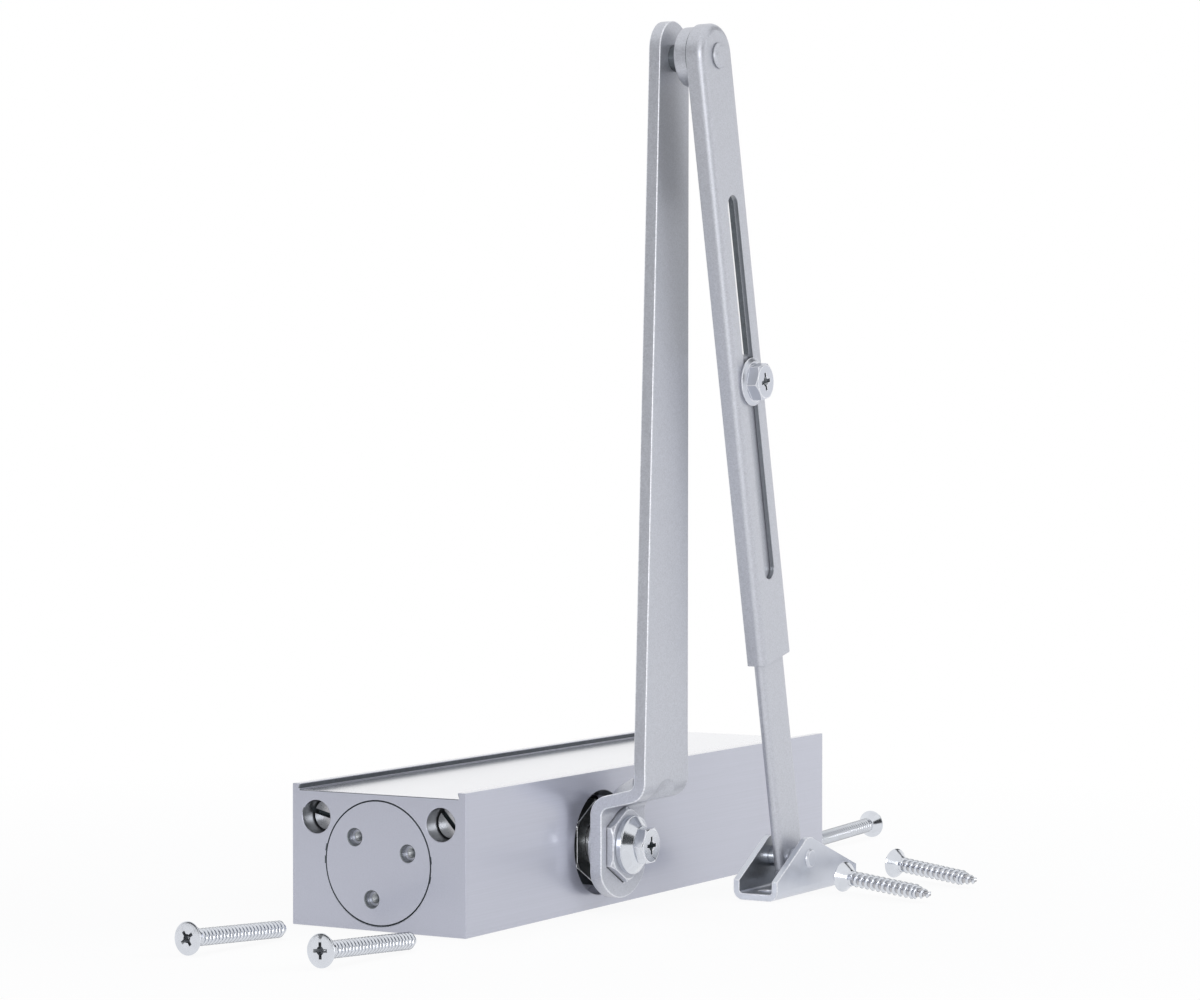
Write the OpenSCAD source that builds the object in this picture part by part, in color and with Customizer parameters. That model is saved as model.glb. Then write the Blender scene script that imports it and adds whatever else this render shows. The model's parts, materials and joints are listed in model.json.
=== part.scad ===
// Scissor arm door closer, rack and pinion pattern, with a telescopic forearm.
// Origin: on the broad rest face, below the pinion axis. X along the body, Y across it, Z up.

/* [Body] */
// Length of the closer body
body_length = 220; // [214:1:260]
// Width of the body between the two pinion faces
body_width = 58; // [57:0.5:64]
// Height of the body above its rest face
body_height = 40; // [39.5:0.5:46]
// Distance from the valve end face to the pinion axis
pinion_from_end = 74; // [72:0.5:90]
// Height of the cylinder and pinion axis above the rest face
axis_height = 19; // [18:0.25:21]
// Bore of the oil cylinder
cylinder_bore = 32; // [31.8:0.1:32.4]
// Depth of the long recess in the top face
recess_depth = 1.7; // [1:0.1:2]
// Width of each rib beside the recess, at its top edge
rib_top = 2.8; // [2:0.1:4]
// Width of each rib at the recess floor, less than the top makes the undercut
rib_foot = 2.2; // [1.5:0.1:2.8]

/* [End caps and valves] */
// Diameter of the screwed end caps
cap_diameter = 34.7; // [34:0.1:35]
// Thickness of the end caps
cap_depth = 14; // [12:0.5:14]
// Bevel of the body around each end cap
cap_bevel = 0.35; // [0.2:0.05:0.6]
// Diameter of the three spanner holes in a cap
spanner_hole = 4.5; // [3.5:0.1:5]
// Depth of the spanner holes
spanner_depth = 2.2; // [1.5:0.1:5]
// Radius of the circle the spanner holes lie on
spanner_circle = 10.4; // [8:0.1:12]
// Turn of the first spanner hole from the width direction
spanner_turn = 41.5; // [0:0.5:120]
// Distance of each valve from the middle of the width
valve_offset = 20.8; // [20.5:0.1:22]
// Height of the valves above the rest face
valve_height = 30.9; // [30:0.1:31.5]
// Diameter of the valve counterbore in the end face
valve_counterbore = 9.4; // [8.8:0.1:9.6]
// Depth of the slotted valve head below the end face
valve_head_depth = 5.5; // [3:0.5:6.5]
// Diameter of the valve body
valve_diameter = 8; // [7:0.1:8]
// Gap around the valve head in its counterbore
valve_gap = 0.4; // [0.3:0.05:0.6]
// Width of the screwdriver slot in a valve head
valve_slot_width = 1.3; // [1:0.1:1.6]
// Depth of the screwdriver slot in a valve head
valve_slot_depth = 1.8; // [1:0.1:2]
// Turn of the closing valve slot
closing_slot_turn = 47; // [0:1:180]
// Turn of the latching valve slot
latching_slot_turn = 13; // [0:1:180]

/* [Pinion and drive] */
// Tooth module of the rack and pinion
tooth_module = 2; // [1.9:0.05:2]
// Number of pinion teeth
tooth_count = 9; // [9:1:9]
// Outer radius of the pinion teeth
tooth_tip_radius = 11.5; // [11:0.1:11.6]
// Width of the pinion teeth
tooth_width = 14; // [10:0.5:15]
// Diameter of the pinion journals
journal_diameter = 12.9; // [12:0.1:13]
// Width across flats of the square drive end
square_drive = 9.4; // [8:0.1:10]
// Diameter of the counterbore around the shaft nut
gland_counterbore = 30.4; // [29:0.1:31]
// Width across flats of the shaft nut
gland_flats = 22.2; // [21:0.1:23]
// Depth of the shaft nut face below the body face
gland_sunk = 1.5; // [0.5:0.1:2.5]

/* [Main arm] */
// Thickness of the arm plate
arm_thickness = 3.8; // [3.5:0.1:4.2]
// Width of the arm at the hub
hub_width = 26; // [24:0.5:27]
// Radius of the round lower end of the hub
hub_radius = 15.7; // [15:0.1:16.5]
// Gap between the body face and the back of the hub plate
hub_gap = 3.8; // [3:0.1:5]
// Distance of the front of the raised arm from the body face
arm_front = 22.1; // [21:0.1:24]
// Height of the elbow pivot above the rest face
elbow_height = 247.5; // [220:0.5:280]
// Sideways position of the elbow pivot
elbow_side = 4.3; // [0:0.1:6]
// Radius of the rounded arm end
arm_end_radius = 8.7; // [8.5:0.1:9.5]
// Width across flats of the hexagonal drive insert
insert_flats = 19.3; // [18:0.1:20]

/* [Forearm] */
// Lean of the forearm from upright
forearm_lean = 12.3; // [5:0.1:20]
// Width of the forearm channel
channel_width = 18.6; // [18.2:0.1:20]
// Depth of the forearm channel
channel_depth = 5.7; // [5.5:0.1:6.2]
// Wall of the forearm channel
channel_wall = 1.6; // [1.4:0.1:1.7]
// Radius of the two long front edges of the channel
channel_corner = 2.3; // [1.8:0.1:3]
// Distance of the square cut lower end from the elbow pivot
channel_reach = 180; // [170:1:190]
// Start of the long slot, from the elbow pivot
slot_start = 40.6; // [35:0.5:50]
// End of the long slot, from the elbow pivot
slot_end = 155.3; // [150:0.5:165]
// Width of the long slot
slot_width = 6.3; // [6:0.1:6.6]
// Width of the sliding bar
bar_width = 14.6; // [13.6:0.1:14.8]
// Thickness of the sliding bar
bar_thickness = 3.5; // [3:0.1:3.6]
// Distance of the bar's upper end from the elbow pivot
bar_start = 88.7; // [86:0.1:90]
// Distance of the clamp screw from the elbow pivot
clamp_at = 95.7; // [94:0.1:100]

/* [Shoe] */
// Height of the shoe pivot above the rest face
shoe_pivot_height = 10.8; // [10.4:0.1:13]
// Outer width of the shoe
shoe_width = 14.7; // [14:0.1:16]
// Wall of the shoe
shoe_wall = 2; // [1.6:0.1:2.2]
// Length of the shoe ahead of its pivot
shoe_front = 21.5; // [18:0.5:26]
// Length of the shoe behind its pivot
shoe_back = 32.2; // [28:0.1:36]
// Diameter of the two fixing holes in the shoe base
shoe_hole = 5.5; // [4:0.1:5.5]

/* [Loose screws] */
// Diameter of the countersunk screw heads
screw_head = 9.2; // [9:0.1:9.6]
// Shank diameter of the loose screws
screw_shank = 4.8; // [4:0.1:5]
// Length of the two machine screws ahead of the body
machine_screw_length = 40; // [25:1:50]
// Length of the machine screw beyond the body
long_screw_length = 48; // [30:1:60]
// Length of the wood screws
wood_screw_length = 35; // [20:1:40]
// Distance of the two machine screw heads ahead of the body
screws_ahead = 62.5; // [55:0.5:80]
// Distance of the long screw head beyond the body
screw_beyond = 52; // [50:0.5:80]
// Distance of the wood screws along the body from the shoe pivot
screws_along = 9.9; // [5:0.1:15]
// Distance along the body between the wood screws
wood_screw_gap = 37.9; // [30:0.1:50]

/* [Return springs] */
// Middle diameter of the outer return spring
outer_coil = 24.6; // [24:0.1:25]
// Wire of the outer return spring
outer_wire = 4.2; // [3.6:0.1:4.4]
// Middle diameter of the inner return spring
inner_coil = 16; // [15.4:0.1:16.4]
// Wire of the inner return spring
inner_wire = 2.6; // [2.2:0.1:2.8]

/* [Hidden] */
$fn = 64;

aluminium = [0.74, 0.76, 0.80];
silver = [0.78, 0.79, 0.83];
black = [0.10, 0.10, 0.11];
bright = [0.85, 0.87, 0.92];
steel = [0.66, 0.67, 0.70];
rubber = [0.07, 0.07, 0.08];

fit = 0.05;
front_end = -pinion_from_end;
back_end = body_length - pinion_from_end;
near_face = -body_width / 2;
bore_front = front_end + cap_depth;
bore_back = back_end - cap_depth;
recess_floor = body_height - recess_depth;

pitch_radius = tooth_module * tooth_count / 2;
pressure_angle = 20;
base_radius = pitch_radius * cos(pressure_angle);
tooth_shift = 0.5 * tooth_module;
tooth_root_radius = pitch_radius + tooth_shift - 1.25 * tooth_module;
tooth_play = 0.10;
tooth_thickness = tooth_module * (PI / 2 + tan(pressure_angle)) - tooth_play;
rack_line = pitch_radius + tooth_shift;
rack_tip = rack_line - tooth_module;
rack_root = tooth_tip_radius + 0.7;
rack_pitch = PI * tooth_module;

piston_front = bore_front + 4;
piston_back = 21;
piston_radius = cylinder_bore / 2 - fit;
piston_slot_front = -PI * pitch_radius - tooth_tip_radius - 0.7;
piston_slot_back = tooth_tip_radius + 0.8;
seat_back = piston_back + 2.5;

gland_depth = 7;
gland_thread_radius = 12;
gland_inner = near_face + 12.7;
gland_lip = 1.2;
seal_length = 3;
bearing_radius = 9.5;

plate_back = near_face - hub_gap;
plate_front = plate_back - arm_thickness;
raised_front = near_face - arm_front;
raised_back = raised_front + arm_thickness;
inner_bend = 2.4;
outer_bend = inner_bend + arm_thickness;
middle_bend = inner_bend + arm_thickness / 2;
upper_side = raised_front + outer_bend;
upper_height = 38.5;
lower_side = plate_back - outer_bend;
lower_height = 28.2;
centres_apart = sqrt(pow(upper_side - lower_side, 2) + pow(upper_height - lower_height, 2));
step_turn = asin(2 * middle_bend / centres_apart) + atan2(lower_side - upper_side, upper_height - lower_height);
dart_slope = 31;
insert_front = plate_front - 2.1;
washer_rim_front = insert_front - 1.8;
washer_front = insert_front - 4.4;
bolt_front = washer_front - 3;

boss_back = raised_front - 4.3;
channel_back = boss_back - 4.4;
channel_front = channel_back - channel_depth;
web_back = channel_front + channel_wall;
bar_front = web_back + 2 * fit;
bar_back = bar_front + bar_thickness;
bar_middle = (bar_front + bar_back) / 2;
forearm_pin = 6;

shoe_z = shoe_pivot_height;
shoe_at = (elbow_height - shoe_z) / cos(forearm_lean);
shoe_x = elbow_side + shoe_at * sin(forearm_lean);
shoe_near = bar_middle - shoe_width / 2;
shoe_far = bar_middle + shoe_width / 2;
shoe_pin = 4.5;
ear_radius = 6.4;
ear_front_height = 5.9;
ear_back_height = 5.7;

// Round bar lying along X
module rod_x(x0, x1, y, z, r) {
    translate([x0, y, z]) rotate([0, 90, 0]) cylinder(h = x1 - x0, r = r);
}

// Round bar lying along Y
module rod_y(y0, y1, x, z, r) {
    translate([x, y0, z]) rotate([-90, 0, 0]) cylinder(h = y1 - y0, r = r);
}

// Cone lying along Y, radius first at y0, then at y1
module cone_y(y0, y1, x, z, ra, rb) {
    translate([x, y0, z]) rotate([-90, 0, 0]) cylinder(h = y1 - y0, r1 = ra, r2 = rb);
}

// Extrude an X-Z outline between two Y positions
module across(y0, y1) {
    translate([0, y1, 0]) rotate([90, 0, 0]) linear_extrude(y1 - y0) children();
}

// Extrude a Y-Z outline between two X positions
module along(x0, x1) {
    translate([x0, 0, 0]) rotate([90, 0, 90]) linear_extrude(x1 - x0) children();
}

// Hexagon with two flats facing the sideways direction
module hexagon(flats) {
    rotate(30) circle(r = flats / 2 / cos(30), $fn = 6);
}

// Ring groove or ring with a round section, lying along X
module ring_x(x, y, z, middle, thick) {
    translate([x, y, z]) rotate([0, 90, 0]) rotate_extrude() translate([middle, 0]) circle(d = thick, $fn = 24);
}

// Work in the leaning frame of the forearm, its zero at the elbow pivot
module leaning() {
    translate([elbow_side, 0, elbow_height]) rotate([0, -forearm_lean, 0]) children();
}

// ---------- body ----------
module top_recess() {
    foot = body_width / 2 - rib_foot;
    lip = body_width / 2 - rib_top;
    along(front_end - 1, back_end + 1) polygon([[-foot, recess_floor], [foot, recess_floor],
        [lip, body_height], [lip, body_height + 1], [-lip, body_height + 1], [-lip, body_height]]);
}

module valve_cut(side) {
    y = side * valve_offset;
    port_turn = -side * atan2(valve_offset, axis_height - valve_height);
    rod_x(front_end - 1, front_end + 8, y, valve_height, valve_counterbore / 2);
    rod_x(front_end + 7, front_end + 32, y, valve_height, valve_diameter / 2 + fit);
    rod_x(front_end + 31, 57, y, valve_height, 1.5);
    for (x = [bore_front + 2, 56])
        translate([x, y, valve_height]) rotate([-port_turn, 0, 0]) cylinder(h = 14, r = 1.3);
}

module gland_cut() {
    rod_y(near_face - 1, near_face + gland_depth, 0, axis_height, gland_counterbore / 2);
    rod_y(near_face + 6, -8, 0, axis_height, gland_thread_radius + fit);
}

module housing() {
    color(aluminium) difference() {
        translate([front_end, near_face, 0]) cube([body_length, body_width, body_height]);
        top_recess();
        rod_x(front_end - 1, back_end + 1, 0, axis_height, cylinder_bore / 2);
        rod_x(front_end - 1, bore_front, 0, axis_height, cap_diameter / 2 + fit);
        rod_x(bore_back, back_end + 1, 0, axis_height, cap_diameter / 2 + fit);
        translate([front_end - 0.01, 0, axis_height]) rotate([0, 90, 0])
            cylinder(h = cap_bevel, r1 = cap_diameter / 2 + cap_bevel, r2 = cap_diameter / 2);
        translate([back_end + 0.01, 0, axis_height]) rotate([0, -90, 0])
            cylinder(h = cap_bevel, r1 = cap_diameter / 2 + cap_bevel, r2 = cap_diameter / 2);
        valve_cut(-1);
        valve_cut(1);
        gland_cut();
        mirror([0, 1, 0]) gland_cut();
    }
}

module end_cap() {
    difference() {
        rod_x(front_end, bore_front, 0, axis_height, cap_diameter / 2);
        ring_x(bore_front - 4, 0, axis_height, cap_diameter / 2 - 1, 2.2);
        for (k = [0, 1, 2]) {
            turn = spanner_turn + 120 * k;
            y = spanner_circle * cos(turn);
            z = axis_height + spanner_circle * sin(turn);
            rod_x(front_end - 1, front_end + spanner_depth, y, z, spanner_hole / 2);
            translate([front_end - 0.01, y, z]) rotate([0, 90, 0])
                cylinder(h = 0.35, r1 = spanner_hole / 2 + 0.35, r2 = spanner_hole / 2);
            translate([front_end + spanner_depth - 0.01, y, z]) rotate([0, 90, 0])
                cylinder(h = 0.8, r1 = spanner_hole / 3, r2 = 0.1);
        }
        rod_x(bore_front - 3, bore_front + 1, 0, axis_height, 9);
    }
}

module mirrored_end() {
    translate([front_end + back_end, 0, 0]) mirror([1, 0, 0]) children();
}

module end_cap_front() {
    color(aluminium) end_cap();
}

module end_cap_rear() {
    color(aluminium) mirrored_end() end_cap();
}

module cap_ring() {
    ring_x(bore_front - 4, 0, axis_height, cap_diameter / 2 - 1, 1.9);
}

module cap_ring_front() {
    color(rubber) cap_ring();
}

module cap_ring_rear() {
    color(rubber) mirrored_end() cap_ring();
}

// ---------- shaft nuts, bearings and seals ----------
module gland_nut() {
    face = near_face + gland_sunk;
    difference() {
        union() {
            intersection() {
                across(face, near_face + gland_depth - 0.02) translate([0, axis_height]) hexagon(gland_flats);
                cone_y(face, near_face + gland_depth, 0, axis_height, gland_flats / 2 + 0.9, gland_flats / 2 + 10);
            }
            rod_y(near_face + gland_depth - 1, gland_inner, 0, axis_height, gland_thread_radius);
        }
        rod_y(face - 1, gland_inner + 1, 0, axis_height, journal_diameter / 2 + 0.3);
        rod_y(face + gland_lip, gland_inner + 1, 0, axis_height, bearing_radius);
    }
}

module bearing() {
    difference() {
        rod_y(near_face + gland_sunk + gland_lip + seal_length, gland_inner, 0, axis_height, bearing_radius);
        rod_y(near_face, gland_inner + 1, 0, axis_height, journal_diameter / 2 + fit);
    }
}

module shaft_seal() {
    start = near_face + gland_sunk + gland_lip;
    difference() {
        rod_y(start, start + seal_length, 0, axis_height, bearing_radius);
        rod_y(start - 1, start + seal_length + 1, 0, axis_height, journal_diameter / 2 + fit / 2);
    }
}

module gland_nut_front() {
    color(black) gland_nut();
}

module gland_nut_rear() {
    color(black) mirror([0, 1, 0]) gland_nut();
}

module bearing_front() {
    color(steel) bearing();
}

module bearing_rear() {
    color(steel) mirror([0, 1, 0]) bearing();
}

module shaft_seal_front() {
    color(rubber) shaft_seal();
}

module shaft_seal_rear() {
    color(rubber) mirror([0, 1, 0]) shaft_seal();
}

// ---------- regulating valves ----------
module valve(side, slot_turn) {
    y = side * valve_offset;
    head = front_end + valve_head_depth;
    neck = front_end + 8.2;
    difference() {
        union() {
            rod_x(head, front_end + 7.8, y, valve_height, valve_counterbore / 2 - valve_gap);
            rod_x(front_end + 7.7, neck, y, valve_height, valve_diameter / 2 - 0.2);
            rod_x(neck - 0.1, front_end + 13.5, y, valve_height, valve_diameter / 2);
            rod_x(front_end + 13.4, front_end + 26, y, valve_height, 2.5);
            translate([front_end + 26, y, valve_height]) rotate([0, 90, 0]) cylinder(h = 5, r1 = 2.5, r2 = 0.7);
        }
        translate([head, y, valve_height]) rotate([slot_turn, 0, 0])
            cube([2 * valve_slot_depth, 12, valve_slot_width], center = true);
        ring_x(front_end + 11, y, valve_height, valve_diameter / 2 - 0.5, 1.4);
    }
}

module valve_ring(side) {
    ring_x(front_end + 11, side * valve_offset, valve_height, valve_diameter / 2 - 0.5, 1);
}

module closing_valve() {
    color(bright) valve(-1, closing_slot_turn);
}

module closing_valve_ring() {
    color(rubber) valve_ring(-1);
}

module latching_valve() {
    color(bright) valve(1, latching_slot_turn);
}

module latching_valve_ring() {
    color(rubber) valve_ring(1);
}

// ---------- piston with rack ----------
module rack_tooth(centre) {
    root_half = rack_pitch / 4 + (rack_root - rack_line) * tan(pressure_angle);
    tip_half = rack_pitch / 4 - (rack_line - rack_tip) * tan(pressure_angle);
    across(-tooth_width / 2 - 1, tooth_width / 2 + 1) translate([centre, axis_height])
        polygon([[-root_half, rack_root], [-root_half, rack_root + 0.5], [root_half, rack_root + 0.5],
            [root_half, rack_root], [tip_half, rack_tip], [-tip_half, rack_tip]]);
}

module piston() {
    color(steel) {
        difference() {
            rod_x(piston_front, piston_back, 0, axis_height, piston_radius);
            translate([piston_slot_front, -20, axis_height - rack_root])
                cube([piston_slot_back - piston_slot_front, 40, 2 * rack_root]);
            ring_x(piston_front + 6, 0, axis_height, piston_radius - 1, 2.4);
            rod_x(piston_front - 1, piston_slot_front + 1, 0, axis_height, 2);
            rod_x(piston_front + 8, piston_slot_front + 1, 0, axis_height, 3.6);
            rod_x(piston_slot_back - 1, piston_back + 1, 0, axis_height, 4);
        }
        for (k = [-6:1:1])
            rack_tooth((k + 0.5) * rack_pitch);
    }
}

module piston_seal() {
    color(rubber) ring_x(piston_front + 6, 0, axis_height, piston_radius - 1, 1.9);
}

module check_ball() {
    color(bright) translate([piston_front + 10.8, 0, axis_height]) sphere(r = 3);
}

module spring_seat() {
    color(steel) difference() {
        union() {
            rod_x(piston_back, seat_back, 0, axis_height, 15);
            rod_x(seat_back - 0.1, seat_back + 8, 0, axis_height, 6.2);
        }
        rod_x(piston_back - 1, seat_back + 9, 0, axis_height, 3);
    }
}

// Coil with a round wire section, its axis along X
module coil(x0, x1, middle, wire, turns, slices) {
    pitch = (x1 - x0 - wire) / turns;
    half = wire / pitch * 180;
    outer = [for (k = [0:1:6]) let (a = 180 - 30 * k) [half * cos(a), middle + wire / 2 * sin(a)]];
    inner = [for (k = [1:1:5]) let (a = -30 * k) [half * cos(a), middle + wire / 2 * sin(a)]];
    section = concat(outer, inner);
    translate([x0 + wire / 2, 0, axis_height]) rotate([0, 90, 0])
        linear_extrude(height = x1 - x0 - wire, twist = 360 * turns, slices = slices, $fn = 12)
            polygon([for (p = section) [p[1] * cos(p[0]), p[1] * sin(p[0])]]);
}

module outer_spring() {
    color(steel) coil(seat_back, bore_back, outer_coil / 2, outer_wire, 9, 144);
}

module inner_spring() {
    color(steel) coil(seat_back, bore_back, inner_coil / 2, inner_wire, 13, 182);
}

// ---------- pinion ----------
function involute(r) = tan(acos(base_radius / r)) * 180 / PI - acos(base_radius / r);
function half_tooth(r) = tooth_thickness / 2 / pitch_radius * 180 / PI
    + involute(pitch_radius) - involute(r);
flank_steps = [for (k = [0:1:6]) base_radius + 0.01 + (tooth_tip_radius - base_radius - 0.01) * k / 6];

module pinion_tooth() {
    left = [for (r = flank_steps) [-r * sin(half_tooth(r)), r * cos(half_tooth(r))]];
    right = [for (k = [0:1:6]) let (r = flank_steps[6 - k]) [r * sin(half_tooth(r)), r * cos(half_tooth(r))]];
    foot = tooth_root_radius - 0.4;
    lean = half_tooth(base_radius + 0.01);
    polygon(concat([[-foot * sin(lean), foot * cos(lean)]], left, right, [[foot * sin(lean), foot * cos(lean)]]));
}

module pinion() {
    color(steel) difference() {
        union() {
            across(-tooth_width / 2, tooth_width / 2) translate([0, axis_height]) {
                circle(r = tooth_root_radius);
                for (k = [0:1:tooth_count - 1])
                    rotate(360 / tooth_count * k) pinion_tooth();
            }
            rod_y(plate_back + 1.4, -near_face - gland_sunk - 0.5, 0, axis_height, journal_diameter / 2);
            intersection() {
                translate([-square_drive / 2, insert_front + 0.2, axis_height - square_drive / 2])
                    cube([square_drive, 10, square_drive]);
                rod_y(insert_front, 0, 0, axis_height, journal_diameter / 2 - 0.1);
            }
        }
        rod_y(insert_front - 1, insert_front + 16, 0, axis_height, 3);
        rod_y(-near_face - 14, -near_face, 0, axis_height, 2.6);
    }
}

// ---------- main arm ----------
module hub_outline() {
    corner = 6;
    side = hub_width / 2 - corner;
    drop = sqrt(pow(hub_radius - corner, 2) - side * side);
    translate([0, axis_height]) {
        intersection() {
            circle(r = hub_radius);
            polygon([[0, 0], [-side * 3, -drop * 3], [side * 3, -drop * 3]]);
        }
        translate([-side, -drop]) circle(r = corner);
        translate([side, -drop]) circle(r = corner);
        translate([-hub_width / 2, -drop]) square([hub_width, 24]);
    }
}

module arm_outline() {
    end_x = elbow_side + 0.25;
    end_z = elbow_height + 2.1;
    half = hub_width / 2;
    hub_outline();
    polygon([[-half, axis_height], [-half, 43], [-half + 0.3, 49], [end_x - arm_end_radius, end_z],
        [end_x + arm_end_radius, end_z], [half - 0.2, 49], [half, 43], [half, axis_height]]);
    translate([end_x, end_z]) circle(r = arm_end_radius);
}

// Points on a bend about its centre, between two angles
function bend(side, height, r, from, to) =
    [for (k = [0:1:12]) let (a = from + (to - from) * k / 12) [side + r * cos(a), height + r * sin(a)]];

// The plate's own section: hub, cranked step with its two bends, raised arm
module arm_side() {
    top = elbow_height + 20;
    polygon(concat([[plate_front, 0]],
        bend(lower_side, lower_height, inner_bend, 0, step_turn),
        bend(upper_side, upper_height, outer_bend, 180 + step_turn, 180),
        [[raised_front, top], [raised_back, top]],
        bend(upper_side, upper_height, inner_bend, 180, 180 + step_turn),
        bend(lower_side, lower_height, outer_bend, step_turn, 0),
        [[plate_back, 0]]));
}

// Rod at the slope of the pressed dart, its top line a distance from the lower bend's centre
module dart_rod(top, r, start, length) {
    translate([0, lower_side, lower_height]) rotate([180 - dart_slope, 0, 0])
        translate([0, start, r - top]) rotate([-90, 0, 0]) cylinder(h = length, r = r);
}

module main_arm() {
    color(silver) difference() {
        union() {
            intersection() {
                along(-20, 20) arm_side();
                across(raised_front - 1, plate_back + 1) arm_outline();
            }
            intersection() {
                dart_rod(outer_bend + 0.4, 7, -1, 20);
                translate([-10, raised_back - 1, lower_height + outer_bend - 1])
                    cube([20, lower_side + 3.3 - raised_back + 1, 14]);
            }
        }
        dart_rod(inner_bend + 0.2, 8, 1.2, 30);
        across(plate_front - 1, plate_back + 1) translate([0, axis_height]) hexagon(insert_flats + 0.5);
        rod_y(raised_front - 1, raised_back + 1, elbow_side, elbow_height, forearm_pin / 2 + fit);
        cone_y(raised_back - 1.2, raised_back + 0.01, elbow_side, elbow_height, 3.05, 4.5);
    }
}

module hex_insert() {
    color(silver) difference() {
        union() {
            intersection() {
                across(insert_front, plate_back) translate([0, axis_height]) hexagon(insert_flats);
                cone_y(insert_front, plate_back, 0, axis_height, insert_flats / 2 + 0.5, insert_flats / 2 + 7);
            }
            rod_y(plate_back, plate_back + 1.3, 0, axis_height, 12);
        }
        translate([-square_drive / 2 - fit, insert_front - 1, axis_height - square_drive / 2 - fit])
            cube([square_drive + 2 * fit, 12, square_drive + 2 * fit]);
    }
}

module cone_washer() {
    color(bright) difference() {
        union() {
            rod_y(washer_rim_front, insert_front, 0, axis_height, 8.6);
            cone_y(washer_front, washer_rim_front, 0, axis_height, 5.5, 8.2);
        }
        rod_y(washer_front - 1, insert_front + 1, 0, axis_height, 3.2);
    }
}

// Cross recess for a driver, cut from the front face of a screw facing -Y
module cross_recess(face, x, z, span, deep) {
    translate([x, face, z]) {
        cube([span, 2 * deep, span / 5], center = true);
        cube([span / 5, 2 * deep, span], center = true);
    }
    cone_y(face - 0.01, face + deep * 1.2, x, z, span / 3.4, 0.3);
}

module arm_bolt() {
    color(bright) difference() {
        union() {
            across(bolt_front, washer_front) translate([0, axis_height]) rotate(30) hexagon(10);
            rod_y(washer_front - 0.5, insert_front + 15, 0, axis_height, 2.98);
        }
        cross_recess(bolt_front, 0, axis_height, 5.2, 1.6);
    }
}

module elbow_rivet() {
    color(bright) {
        rod_y(boss_back + fit, raised_front, elbow_side, elbow_height, 3.9);
        rod_y(channel_front - 0.6, raised_back, elbow_side, elbow_height, forearm_pin / 2);
        cone_y(channel_front - 1.5, channel_front - 0.5, elbow_side, elbow_height, 2.9, 3.75);
        rod_y(channel_front - 0.5, channel_front - fit, elbow_side, elbow_height, 3.75);
        cone_y(raised_back - 1.15, raised_back, elbow_side, elbow_height, 3, 4.4);
    }
}

// ---------- forearm ----------
module elbow_boss() {
    color(bright) leaning() difference() {
        union() {
            rod_y(channel_back, boss_back, 0, 0, 8.6);
            rod_y(web_back, channel_back + 0.1, 0, 0, 7);
        }
        rod_y(web_back - 1, boss_back + 1, 0, 0, forearm_pin / 2 + fit);
    }
}

// Strip of a half width, with its two edges on the front side rounded
module rounded_strip(half, front, back, corner) {
    translate([-half, front + corner]) square([2 * half, back - front - corner]);
    translate([-half + corner, front]) square([2 * half - 2 * corner, back - front]);
    translate([-half + corner, front + corner]) circle(r = corner);
    translate([half - corner, front + corner]) circle(r = corner);
}

// Section of the channel, seen along the forearm, open at the back
module channel_section() {
    half = channel_width / 2;
    difference() {
        rounded_strip(half, channel_front, channel_back, channel_corner);
        translate([-half + channel_wall, web_back]) square([channel_width - 2 * channel_wall, channel_depth]);
    }
}

// Half round closed end of the channel, turned about the elbow pivot
module channel_end() {
    half = channel_width / 2;
    intersection() {
        rotate([-90, 0, 0]) rotate_extrude() intersection() {
            channel_section();
            translate([0, channel_front - 1]) square([half, channel_depth + 2]);
        }
        translate([-half - 1, channel_front - 1, 0]) cube([channel_width + 2, channel_depth + 2, half + 1]);
    }
}

module forearm_channel() {
    low = slot_end - slot_width / 2;
    high = slot_start + slot_width / 2;
    color(silver) leaning() difference() {
        union() {
            translate([0, 0, -channel_reach]) linear_extrude(channel_reach) channel_section();
            channel_end();
        }
        rod_y(channel_front - 1, channel_back + 1, 0, 0, forearm_pin / 2 + fit);
        rod_y(channel_front - 1, web_back + 1, 0, -low, slot_width / 2);
        rod_y(channel_front - 1, web_back + 1, 0, -high, slot_width / 2);
        translate([-slot_width / 2, channel_front - 1, -low]) cube([slot_width, 4, low - high]);
    }
}

// Flat bar section with fully rounded edges
module bar_section() {
    half = bar_width / 2 - bar_thickness / 2;
    translate([-half, bar_front]) square([2 * half, bar_thickness]);
    translate([-half, bar_middle]) circle(d = bar_thickness, $fn = 32);
    translate([half, bar_middle]) circle(d = bar_thickness, $fn = 32);
}

module forearm_bar() {
    half = bar_width / 2;
    color(silver) leaning() difference() {
        intersection() {
            translate([0, 0, -shoe_at - 10]) linear_extrude(shoe_at) bar_section();
            across(bar_front - 1, bar_back + 1) {
                translate([-half, -shoe_at]) square([bar_width, shoe_at - bar_start]);
                translate([0, -shoe_at]) circle(r = half);
            }
        }
        rod_y(bar_front - 1, bar_back + 1, 0, -shoe_at, shoe_pin / 2 + fit);
        rod_y(bar_front - 1, bar_back + 1, 0, -clamp_at, 2.6);
    }
}

module clamp_screw() {
    seat = channel_front - fit;
    color(bright) leaning() difference() {
        union() {
            rod_y(seat - 1.5, seat, 0, -clamp_at, 7.1);
            across(seat - 5, seat - 1.4) translate([0, -clamp_at]) rotate(30) hexagon(10);
            rod_y(seat - 0.1, bar_front - fit, 0, -clamp_at, slot_width / 2 - 0.1);
            rod_y(bar_front - 0.1, bar_back, 0, -clamp_at, 2.55);
        }
        cross_recess(seat - 5, 0, -clamp_at, 5.2, 1.6);
    }
}

// ---------- shoe ----------
module shoe_section() {
    half = shoe_width / 2;
    corner = 3;
    translate([bar_middle, 0]) difference() {
        rounded_strip(half, 0, 24, corner);
        rounded_strip(half - shoe_wall, shoe_wall, 25, corner - shoe_wall);
    }
}

// Angle from the level at which a line from an ear's end meets a circle about the pivot
function ear_turn(reach, drop, r) = acos(r / sqrt(reach * reach + drop * drop)) - atan2(drop, reach);

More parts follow.
